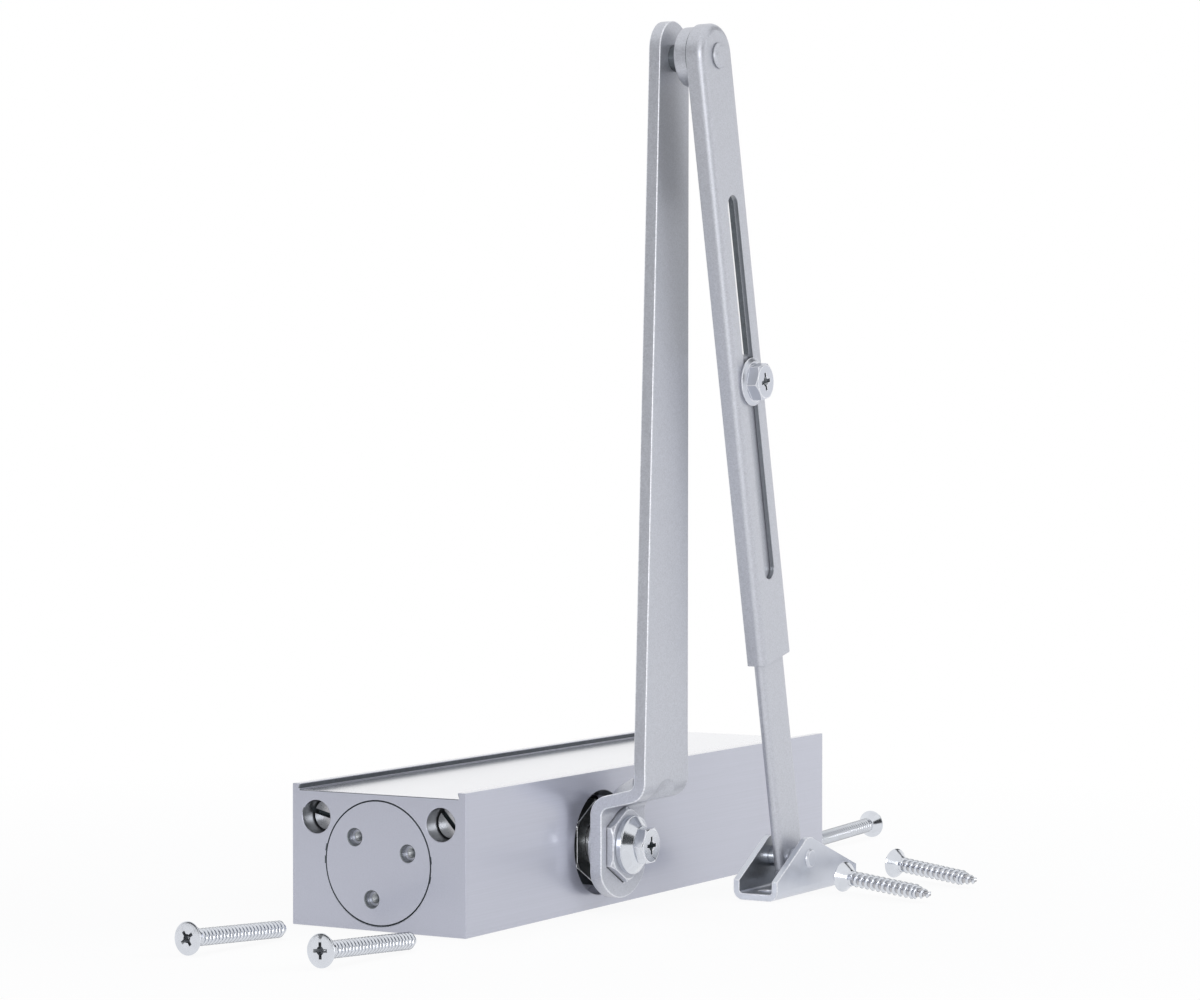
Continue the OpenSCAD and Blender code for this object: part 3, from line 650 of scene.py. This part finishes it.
def wound_thread(length, pitch, start_radius, end_radius, ridge, place):
    """One threaded stretch as a plain mesh; sizes in millimetres, drawn along +Z"""
    holder = add_object("Thread Stretch", bpy.data.meshes.new("Thread Stretch"))
    step = holder.modifiers.new("Thread", "NODES")
    step.node_group = thread_tree()
    wanted = {"Length": length * MM, "Pitch": pitch * MM, "Start Radius": start_radius * MM,
              "End Radius": end_radius * MM, "Ridge": ridge * MM,
              "Material": finishes()[SCREW_FINISHES[0]]}
    for item in step.node_group.interface.items_tree:
        if item.item_type == "SOCKET" and item.in_out == "INPUT" and item.name in wanted:
            step[item.identifier] = wanted[item.name]
    bake_modifiers(holder)

    # The core between the threads gets the darker inner steel colour, as painted shade in the
    # thread's valleys
    def ridge_or_core(centre, normal):
        core = start_radius + (end_radius - start_radius) * centre[2] / length
        return SCREW_FINISHES[2 if math.hypot(centre[0], centre[1]) < core + TOUCH else 0]

    repaint(holder, SCREW_FINISHES, ridge_or_core)
    holder.data.transform(Matrix.Scale(MM, 4) @ place @ Matrix.Scale(1 / MM, 4))
    return holder


def cross_cutters(place):
    """Two tapered wings and a cone that cut a cross recess down from the origin along -Z"""
    span, deep, above = RECESS_SPAN, RECESS_DEPTH, 0.6
    wing = span / 5.2
    wing_low, span_low = wing * 0.72, span * 0.34
    cone = [(0, -deep * 1.25), (span * 0.2, -deep * 0.75), (span * 0.24, above), (0, above)]
    shapes = [tapered_box(wing, span, wing_low, span_low, above, -deep),
              tapered_box(span, wing, span_low, wing_low, above, -deep), lathe(cone, steps=24)]
    # The recess that these cut gets painted shade
    plating_and_recess = SCREW_FINISHES[:2]
    cutters = []
    for shape in shapes:
        cutter = paint(object_from_bmesh("Cut Recess", shape, place, 1.0), plating_and_recess)
        cutters.append(repaint(cutter, plating_and_recess,
                               lambda centre, normal: plating_and_recess[1]))
    return cutters


def countersunk_screw(name, x, y, heading, length, turn, wood):
    """A loose countersunk screw lying on its head rim and its end; turn is that of its recess"""
    sizes = bpy.context.scene.closer_sizes
    head, shank = sizes.head / MM, sizes.shank / MM
    end_width = 4.8
    tilt = math.asin((head - end_width) / 2 / length)
    place = (Matrix.Translation((x, y, head / 2)) @ Matrix.Rotation(math.radians(heading), 4, "Z")
             @ Matrix.Rotation(math.pi / 2 + tilt, 4, "Y"))
    cone = 3.1 if wood else 2.75
    neck = cone + 1.6
    top = object_from_bmesh("Screw Head", lathe([
        (0, 0.02), (head * 0.36, 0.02), (head * 0.455, 0.12), (head * 0.493, 0.34),
        (head * 0.493, 0.55), (head * 0.46, 0.85), (shank / 2 + 0.25, cone),
        (shank / 2 - 0.2, cone + 0.4), (shank / 2 - 0.25, neck), (0, neck)], steps=72), scale=1.0)
    paint(top, SCREW_FINISHES[:2])
    into_head = Matrix.Rotation(math.pi, 4, "X")
    carve(top, cross_cutters(into_head @ Matrix.Rotation(math.radians(turn), 4, "Z")))
    even_normals(top, 30)
    top.data.transform(Matrix.Scale(MM, 4) @ place)
    parts = [top]

    def add_thread(start, span, pitch, start_radius, end_radius, ridge):
        at = place @ Matrix.Translation((0, 0, start))
        parts.append(wound_thread(span, pitch, start_radius, end_radius, ridge, at))

    sunk = 0.02
    if wood:
        pitch, ridge, tip_radius = sizes.wood_pitch / MM, 0.72, 0.35
        core = shank / 2 - ridge + sunk
        add_thread(3.6, length - 9.5, pitch, core, core - 0.05, ridge)
        add_thread(length - 5.9, 5.6, pitch, core - 0.05, tip_radius, ridge * 0.8)
    else:
        pitch = sizes.machine_pitch / MM
        ridge = pitch * 0.46
        core = shank / 2 - ridge + sunk
        add_thread(3.0, length - 4.2, pitch, core, core, ridge)
        parts.append(object_from_bmesh("Screw End", lathe([
            (0, length - 1.3), (core, length - 1.3), (core - 0.3, length - 0.1),
            (0, length - 0.05)], steps=32), place))
    return join(parts, name)


def chamfered_screw(node, finish, recess, profile):
    """Replaces a hexagonal screw by a copy turned to a profile of (radius, height) points

    The heights count outwards from its face. Its cross recess gets painted shade in a finish of
    its own, and its rounded edges a painted glint.
    """
    names = (finish, recess, "edge_glint")
    face, middle = low_mm(node)[1], centre_mm(node)
    rim = HEX_FLATS / 2 - 0.2
    screw = paint(copy_of_node(node), names)
    shape = lathe([*profile, (rim, 0.001), (0, 0.001)], steps=96)
    collar = object_from_bmesh("Chamfer", shape,
                               facing((middle[0], face, middle[2]), (0, -1, 0)))
    paint(collar, names[:2])
    carve(screw, [collar], "INTERSECT")
    round_edges(screw, width=0.14, steps=2, angle=24, finish=names.index("edge_glint"))

    def in_recess(centre, normal):
        reach = math.hypot(centre[0] - middle[0], centre[2] - middle[2])
        sunk = centre[1] - face
        in_depth = RECESS_LIP < sunk < RECESS_DEPTH + 0.1
        return recess if reach < RECESS_SPAN / 2 + SLACK and in_depth else None

    repaint(screw, names, in_recess)
    stand_for(screw, node)


def gusset():
    """The pressed rib in the bend of the arm's step, a round-nosed rod at the slope of the dart"""
    slope = math.radians(31)
    bend = Vector((0, -39.0, 28.2))
    radius, length, back, top, underside = 6.0, 12.0, 4.6, 8.3, 3.2
    bows = [math.pi / 16 * k for k in range(9)]
    profile = [(radius * math.sin(bow), radius * (1 - math.cos(bow))) for bow in bows]
    profile += [(radius, length), (0, length)]
    up = Vector((0, math.sin(slope), math.cos(slope)))
    along = Vector((0, -math.cos(slope), math.sin(slope)))
    shape = lathe(profile, steps=48)
    shape.transform(facing(bend + up * (top - radius) - along * back, along))
    cut = bmesh.ops.bisect_plane(
        shape, geom=shape.verts[:] + shape.edges[:] + shape.faces[:],
        plane_co=bend + up * underside, plane_no=up, clear_inner=True)
    rim = [part for part in cut["geom_cut"] if isinstance(part, bmesh.types.BMEdge)]
    bmesh.ops.holes_fill(shape, edges=rim)
    return object_from_bmesh("Gusset", shape)


# ---------------------------------------------------------------- operators


class CLOSER_OT_body(bpy.types.Operator):
    """Body and end caps with broken edges"""

    bl_idname = "closer.body"
    bl_label = "Body and end caps"

    def execute(self, context):
        sizes = context.scene.closer_sizes
        valves = [centre_mm("closing_valve"), centre_mm("latching_valve")]
        front_cap = centre_mm("end_cap_front")

        def body_finish(centre, normal):
            x, y, z = centre
            # Walls of the valve counterbores get painted shade
            for valve in valves:
                reach = math.hypot(y - valve[1], z - valve[2])
                if x < 0 and reach < VALVE_BORE / 2 + TOUCH:
                    return "wall_shade"
            # A ring of painted shade round the front end cap
            reach = math.hypot(y - front_cap[1], z - front_cap[2])
            if abs(reach - CAP_RADIUS - CAP_GAP) < RING_WIDTH:
                return "shade"
            # Undersides of the recess's side ribs get painted shade
            if z > RECESS_LOW and abs(y) > RECESS_SIDE and normal.z < -SLOPE:
                return "hollow_shade"
            # The recess floor gets a painted highlight, and the rounding at its edges painted
            # shade
            if z > RECESS_LOW and abs(y) < RECESS_SIDE and normal.z > SLOPE:
                return "milled_highlight" if normal.z > SQUARE else "hollow_shade"
            return "body_aluminium"

        dress("housing", ["body_aluminium", "shade", "wall_shade", "hollow_shade", "milled_highlight"],
              width=sizes.body_edge / MM, steps=2, angle=40, choose=body_finish)
        for node in ("end_cap_front", "end_cap_rear"):
            middle = centre_mm(node)
            outer_wall, holes_reach = CAP_RADIUS - 0.2, CAP_RADIUS - 1
            mouth = (high_mm(node)[0] - low_mm(node)[0]) / 2 - 0.4

            def cap_finish(centre, normal):
                reach = math.hypot(centre[1] - middle[1], centre[2] - middle[2])
                # The rounding at the cap's rim gets painted shade, so that a dark ring shows round
                # it
                if reach > outer_wall and abs(normal.x) > 2 * SLOPE:
                    return "shade"
                if reach > holes_reach or abs(normal.x) > 0.97:
                    return "body_aluminium"
                # Walls of the spanner holes get painted shade, darker at their mouths
                at_mouth = abs(centre[0] - middle[0]) > mouth
                return "hollow_shade" if at_mouth and abs(normal.x) > SLOPE else "wall_shade"

            dress(node, ["body_aluminium", "wall_shade", "shade", "hollow_shade"], width=0.12, steps=2, angle=40,
                  choose=cap_finish)
        return {"FINISHED"}


class CLOSER_OT_valves(bpy.types.Operator):
    """Slotted regulating valves"""

    bl_idname = "closer.valves"
    bl_label = "Regulating valves"

    def execute(self, context):
        for node in ("closing_valve", "latching_valve"):
            head = low_mm(node)[0] + 0.3
            dress(node, ["inner_steel", "shade"], width=0.1, steps=2, angle=40,
                  choose=lambda centre, normal: "shade" if centre[0] > head else "inner_steel")
        return {"FINISHED"}


class CLOSER_OT_shaft_nuts(bpy.types.Operator):
    """Black shaft nuts in both pinion faces"""

    bl_idname = "closer.shaft_nuts"
    bl_label = "Shaft nuts"

    def execute(self, context):
        for node in ("gland_nut_front", "gland_nut_rear"):
            # The nuts' rounded edges get a painted glint
            dress(node, ["black_nut", "oxide_glint"], width=0.22, steps=2, angle=25, edge="oxide_glint")
        return {"FINISHED"}


class CLOSER_OT_main_arm(bpy.types.Operator):
    """Cranked main arm and its drive insert"""

    bl_idname = "closer.main_arm"
    bl_label = "Main arm"

    def execute(self, context):
        sizes = context.scene.closer_sizes
        hub = centre_mm("hex_insert")
        plate_back = high_mm("main_arm")[1]

        def arm_finish(centre, normal):
            x, y, z = centre
            in_hole = math.hypot(x - hub[0], z - hub[2]) < INSERT_FLATS / 2 + CORNER_REACH
            if in_hole and abs(normal.y) < WALL and y > plate_back - ARM_PLATE:
                return "shade"
            # Round the pressed dart the rounded edges keep the arm's paint, without the painted
            # glint
            on_dart = abs(x - hub[0]) < DART_HALF_WIDTH and DART_LOW < z < DART_HIGH
            return "arm_silver" if on_dart else None

        # The arm's rounded edges get a painted glint, and the walls of the insert's hole painted
        # shade
        dress("main_arm", ["arm_silver", "edge_glint", "shade"],
              width=sizes.arm_edge / MM, steps=3, angle=38, edge="edge_glint", add=gusset(),
              choose=arm_finish)
        # The insert's rounded edges get a painted glint
        dress("hex_insert", ["arm_silver", "edge_glint"], width=0.25, steps=3, angle=25,
              edge="edge_glint")
        return {"FINISHED"}


class CLOSER_OT_hub_fasteners(bpy.types.Operator):
    """Cone washer and arm bolt"""

    bl_idname = "closer.hub_fasteners"
    bl_label = "Hub fasteners"

    def execute(self, context):
        dress("cone_washer", ["bright_zinc"], width=0.25, steps=3, angle=25)
        chamfered_screw("arm_bolt", "bright_zinc", "shade", [(0, -40), (12, -40), (12, -4.2)])
        return {"FINISHED"}


class CLOSER_OT_elbow(bpy.types.Operator):
    """Elbow rivet and boss"""

    bl_idname = "closer.elbow"
    bl_label = "Elbow"

    def execute(self, context):
        back = high_mm("forearm_channel")[1]
        shaded = back + 0.45

        def rivet_finish(centre, normal):
            # The shoulder behind the channel gets a dark painted shade, and the side of the head a
            # lighter painted shade
            if centre[1] > back:
                return "hollow_shade"
            return "wall_shade" if abs(normal.y) < 0.3 else "arm_silver"

        dress("elbow_rivet", ["arm_silver", "hollow_shade", "wall_shade"], width=0.15, steps=2, angle=25,
              choose=rivet_finish)
        # The boss's back, next to the channel, gets painted shade
        dress("elbow_boss", ["arm_silver", "hollow_shade"], width=0.5, steps=3, angle=25,
              choose=lambda centre, normal: "hollow_shade" if centre[1] < shaded else "arm_silver")
        return {"FINISHED"}


class CLOSER_OT_forearm(bpy.types.Operator):
    """Slotted forearm channel, its sliding bar and the clamp screw"""

    bl_idname = "closer.forearm"
    bl_label = "Forearm"

    def execute(self, context):
        sizes = context.scene.closer_sizes
        elbow = centre_mm("elbow_rivet")
        hollow = low_mm("forearm_bar")[1] - 0.15

        def channel_finish(centre, normal):
            across, down = centre[0] - elbow[0], elbow[2] - centre[2]
            aside = across * math.cos(FOREARM_LEAN) - down * math.sin(FOREARM_LEAN)
            below = down * math.cos(FOREARM_LEAN) + across * math.sin(FOREARM_LEAN)
            reach = abs(aside) if below > 0 else math.hypot(aside, below)
            # Inside of the channel gets a dark painted shade, and the walls of its slot a lighter
            # painted shade
            if reach < CHANNEL_INSIDE / 2 + SLACK and centre[1] > hollow:
                return "hollow_shade"
            in_slot = reach < SLOT_WIDTH / 2 + SLACK and below > SLOT_START
            return "wall_shade" if in_slot and abs(normal.y) < WALL else "arm_silver"

        dress("forearm_channel", ["arm_silver", "hollow_shade", "wall_shade"],
              width=sizes.channel_edge / MM, steps=3, angle=38, choose=channel_finish)
        dress("forearm_bar", ["arm_silver"], width=0.2, steps=2, angle=38)
        flange = [(0, -40), (6.7, -40), (6.7, -4.6), (7.1, -4.55), (7.1, -4.2), (5.9, -3.5),
                  (5.9, -0.65)]
        # The clamp screw's recess gets painted shade
        chamfered_screw("clamp_screw", "shoe_steel", "wall_shade", flange)
        return {"FINISHED"}


class CLOSER_OT_shoe(bpy.types.Operator):
    """Hinged shoe with its rivet and bushes"""

    bl_idname = "closer.shoe"
    bl_label = "Shoe"

    def execute(self, context):
        sizes = context.scene.closer_sizes
        far_wall = high_mm("shoe_bracket")[1] - SHOE_WALL

        def shoe_finish(centre, normal):
            # The inside of the far wall gets painted shade
            on_far_wall = normal.y < -SQUARE and abs(centre[1] - far_wall) < 2 * SLACK
            return "wall_shade" if on_far_wall else None

        # The shoe's rounded edges get a painted glint
        dress("shoe_bracket", ["shoe_steel", "edge_glint", "wall_shade"],
              width=sizes.shoe_edge / MM, steps=3, angle=30, edge="edge_glint",
              choose=shoe_finish)
        # The rivet's rounded edges get a painted glint
        dress("shoe_rivet", ["shoe_steel", "edge_glint"], width=0.12, steps=2, angle=25,
              edge="edge_glint")
        dress("spacer_bushes", ["bright_zinc"], width=0.2, steps=2, angle=25)
        return {"FINISHED"}


class CLOSER_OT_loose_screws(bpy.types.Operator):
    """Loose countersunk screws lying beside the closer"""

    bl_idname = "closer.loose_screws"
    bl_label = "Loose screws"

    def execute(self, context):
        # name, x and y in mm, heading in degrees, length in mm, turn of the recess, wood or not
        machine = [
            countersunk_screw("Machine Screw A", -136.5, 19.1, -4, 40, 38, False),
            countersunk_screw("Machine Screw B", -136.7, -24, -3.5, 40, 4, False),
            countersunk_screw("Machine Screw C", 198, -22.2, 177, 48, 20, False),
        ]
        wood = [
            countersunk_screw("Wood Screw A", 65.8, -75.7, -106, 35, 15, True),
            countersunk_screw("Wood Screw B", 103.7, -75, -109, 35, 30, True),
        ]
        for screws, name, node in ((machine, "loose_machine_screws", "machine_screws"),
                                   (wood, "loose_wood_screws", "wood_screws")):
            stand_for(paint(join(screws, name), SCREW_FINISHES), node)
        return {"FINISHED"}


class CLOSER_OT_inner_parts(bpy.types.Operator):
    """Return springs, and finishes of the remaining CAD solids"""

    bl_idname = "closer.inner_parts"
    bl_label = "Inner parts"

    def execute(self, context):
        looks = finishes()
        for node in ("outer_spring", "inner_spring"):
            spring = paint(copy_of_node(node), ["spring_steel"])
            even_normals(spring, 40)
            stand_for(spring, node)
            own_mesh(spring)
        for node, solid in frame["nodes"].items():
            if not solid.hide_render:
                solid.data.materials.clear()
                solid.data.materials.append(looks[SLOT_OF[node]])
        return {"FINISHED"}


class CLOSER_OT_stage(bpy.types.Operator):
    """White floor, soft studio light and camera"""

    bl_idname = "closer.stage"
    bl_label = "Stage"

    def execute(self, context):
        scene, settings = context.scene, context.scene.closer_stage
        scene.view_settings.view_transform = "Standard"
        lay_floor()
        sky = bpy.data.worlds.new("Studio") if scene.world is None else scene.world
        scene.world = sky
        sky.use_nodes = True
        light_world(sky.node_tree, settings.light)
        for lamp in LAMPS:
            hang_lamp(*lamp)
        for name, bearing, width, low, high in CARDS:
            reflection_card(name, math.radians(bearing), width, low, high)
        lay_card(*FLAT_CARD)
        eye = bpy.data.cameras.new("Camera")
        eye.sensor_fit = "HORIZONTAL"
        eye.sensor_width = 36.0
        eye.lens = settings.lens
        eye.clip_end = 20.0
        camera = add_object("Camera", eye)
        camera.location = settings.camera_place
        camera.rotation_euler = (math.pi / 2 - settings.elevation, 0.0, settings.azimuth)
        scene.camera = camera
        return {"FINISHED"}


# ---------------------------------------------------------------- stage


def ray_mask(tree, *kinds):
    """An output that is 1 for rays of these kinds, and 0 for others"""
    path = add_node(tree, "ShaderNodeLightPath", (-700, 300))
    mask = path.outputs[kinds[0]]
    for k, kind in enumerate(kinds[1:]):
        either = add_node(tree, "ShaderNodeMath", (-500 + 200 * k, 300), operation="MAXIMUM")
        tree.links.new(mask, either.inputs[0])
        tree.links.new(path.outputs[kind], either.inputs[1])
        mask = either.outputs["Value"]
    return mask


def floor_finish():
    """White floor that keeps a soft shadow and reads as white to the camera"""
    material = bpy.data.materials.new("Studio Floor")
    material.use_nodes = True
    tree = material.node_tree
    tree.nodes.clear()
    out = add_node(tree, "ShaderNodeOutputMaterial", (600, 0))
    plain = add_node(tree, "ShaderNodeBsdfDiffuse", (0, 0), {"Color": (0.93, 0.93, 0.95, 1)})
    glow = add_node(tree, "ShaderNodeEmission", (0, -200),
                    {"Color": (1, 1, 1, 1), "Strength": 1.0})
    place = add_node(tree, "ShaderNodeTexCoord", (-900, -100))
    reach = add_node(tree, "ShaderNodeVectorMath", (-700, -100), operation="LENGTH")
    near, far = 0.16, 0.42
    fade = add_node(tree, "ShaderNodeMapRange", (-500, -100),
                    {"From Min": near, "From Max": far, "To Min": 0.9, "To Max": 1.0})
    part = add_node(tree, "ShaderNodeMath", (-50, 200), operation="MULTIPLY")
    mix = add_node(tree, "ShaderNodeMixShader", (300, 0))
    link(place, "Object", reach, 0)
    link(reach, "Value", fade, "Value")
    tree.links.new(ray_mask(tree, "Is Camera Ray", "Is Glossy Ray"), part.inputs[0])
    link(fade, "Result", part, 1)
    link(part, "Value", mix, "Fac")
    link(plain, "BSDF", mix, 1)
    link(glow, "Emission", mix, 2)
    link(mix, "Shader", out, "Surface")
    return material


def lay_floor():
    """A plain floor just under the closer"""
    corners = [(x * FLOOR_REACH, y * FLOOR_REACH, -FLOOR_DROP)
               for x, y in ((-1, -1), (1, -1), (1, 1), (-1, 1))]
    mesh = bpy.data.meshes.new("studio_floor")
    mesh.from_pydata(corners, [], [(0, 1, 2, 3)])
    floor = add_object("studio_floor", mesh)
    floor.data.materials.append(floor_finish())


def light_world(tree, strength):
    """White to the camera and to reflections, plain soft light for the rest"""
    tree.nodes.clear()
    out = add_node(tree, "ShaderNodeOutputWorld", (600, 0))
    white = add_node(tree, "ShaderNodeBackground", (0, 100),
                     {"Color": (1, 1, 1, 1), "Strength": 1.0})
    soft = add_node(tree, "ShaderNodeBackground", (0, -100),
                    {"Color": (0.97, 0.98, 1.0, 1), "Strength": strength})
    mix = add_node(tree, "ShaderNodeMixShader", (300, 0))
    seen = ray_mask(tree, "Is Camera Ray", "Is Transmission Ray", "Is Glossy Ray")
    tree.links.new(seen, mix.inputs["Fac"])
    link(soft, "Background", mix, 1)
    link(white, "Background", mix, 2)
    link(mix, "Shader", out, "Surface")


def hang_lamp(name, place, aim, size, power, mirrored):
    """An area lamp that points at its aim"""
    lamp = bpy.data.lights.new(name, "AREA")
    lamp.size = size
    lamp.energy = power
    holder = add_object(name, lamp)
    holder.location = place
    holder.rotation_euler = (Vector(aim) - Vector(place)).to_track_quat("-Z", "Y").to_euler()
    holder.visible_glossy = mirrored


def reflection_card(name, bearing, width, low, high):
    """A dim upright card at the studio's edge that only reflections see"""
    middle = CARD_DISTANCE * Vector((math.cos(bearing), math.sin(bearing), 0))
    side = Vector((-math.sin(bearing), math.cos(bearing), 0)) * width / 2
    mesh = bpy.data.meshes.new(name)
    mesh.from_pydata([middle + side * way + Vector((0, 0, height))
                      for way, height in ((-1, low), (1, low), (1, high), (-1, high))], [],
                     [(0, 1, 2, 3)])
    material = bpy.data.materials.get("Dim Card") or bpy.data.materials.new("Dim Card")
    material.use_nodes = True
    tree = material.node_tree
    tree.nodes.clear()
    out = add_node(tree, "ShaderNodeOutputMaterial", (300, 0))
    glow = add_node(tree, "ShaderNodeEmission", (0, 0),
                    {"Color": (0.9, 0.95, 1.0, 1), "Strength": CARD_GLOW})
    link(glow, "Emission", out, "Surface")
    mesh.materials.append(material)
    card = add_object(name, mesh)
    card.visible_camera = False
    card.visible_diffuse = False
    card.visible_transmission = False
    card.visible_volume_scatter = False
    card.visible_shadow = False
    return card


def lay_card(degrees, width, length, place):
    """A card that lies flat over the floor, from a place outwards along its bearing"""
    bearing = math.radians(degrees)
    card = reflection_card("Card Table", bearing, width, 0.0, length)
    to_origin = Matrix.Translation((-CARD_DISTANCE * math.cos(bearing),
                                    -CARD_DISTANCE * math.sin(bearing), 0))
    topple = (Matrix.Rotation(bearing, 4, "Z") @ Matrix.Rotation(math.pi / 2, 4, "Y")
              @ Matrix.Rotation(-bearing, 4, "Z"))
    card.data.transform(Matrix.Translation(place) @ topple @ to_origin)


# ---------------------------------------------------------------- add-on


class CLOSER_PT_panel(bpy.types.Panel):
    """Lists the closer's pieces and settings"""

    bl_idname = "CLOSER_PT_panel"
    bl_label = "Door Closer"
    bl_space_type = "VIEW_3D"
    bl_region_type = "UI"
    bl_category = "Door Closer"

    def draw(self, context):
        scene = context.scene
        for group in (scene.closer_finish, scene.closer_sizes, scene.closer_stage):
            box = self.layout.box()
            for name in group.bl_rna.properties.keys():
                if name not in ("rna_type", "name"):
                    box.prop(group, name)
        for step in STEPS:
            self.layout.operator(step.bl_idname)


STEPS = (CLOSER_OT_body, CLOSER_OT_valves, CLOSER_OT_shaft_nuts, CLOSER_OT_main_arm,
         CLOSER_OT_hub_fasteners, CLOSER_OT_elbow, CLOSER_OT_forearm, CLOSER_OT_shoe,
         CLOSER_OT_loose_screws, CLOSER_OT_inner_parts, CLOSER_OT_stage)
CLASSES = (CloserFinish, CloserSizes, CloserStage, *STEPS, CLOSER_PT_panel)


def register():
    for part in CLASSES:
        bpy.utils.register_class(part)
    bpy.types.Scene.closer_finish = bpy.props.PointerProperty(type=CloserFinish)
    bpy.types.Scene.closer_sizes = bpy.props.PointerProperty(type=CloserSizes)
    bpy.types.Scene.closer_stage = bpy.props.PointerProperty(type=CloserStage)


def unregister():
    del bpy.types.Scene.closer_stage
    del bpy.types.Scene.closer_sizes
    del bpy.types.Scene.closer_finish
    for part in reversed(CLASSES):
        bpy.utils.unregister_class(part)


def main():
    register()
    bpy.ops.closer.body()
    bpy.ops.closer.valves()
    bpy.ops.closer.shaft_nuts()
    bpy.ops.closer.main_arm()
    bpy.ops.closer.hub_fasteners()
    bpy.ops.closer.elbow()
    bpy.ops.closer.forearm()
    bpy.ops.closer.shoe()
    bpy.ops.closer.loose_screws()
    bpy.ops.closer.inner_parts()
    bpy.ops.closer.stage()


if __name__ == "__main__":
    main()
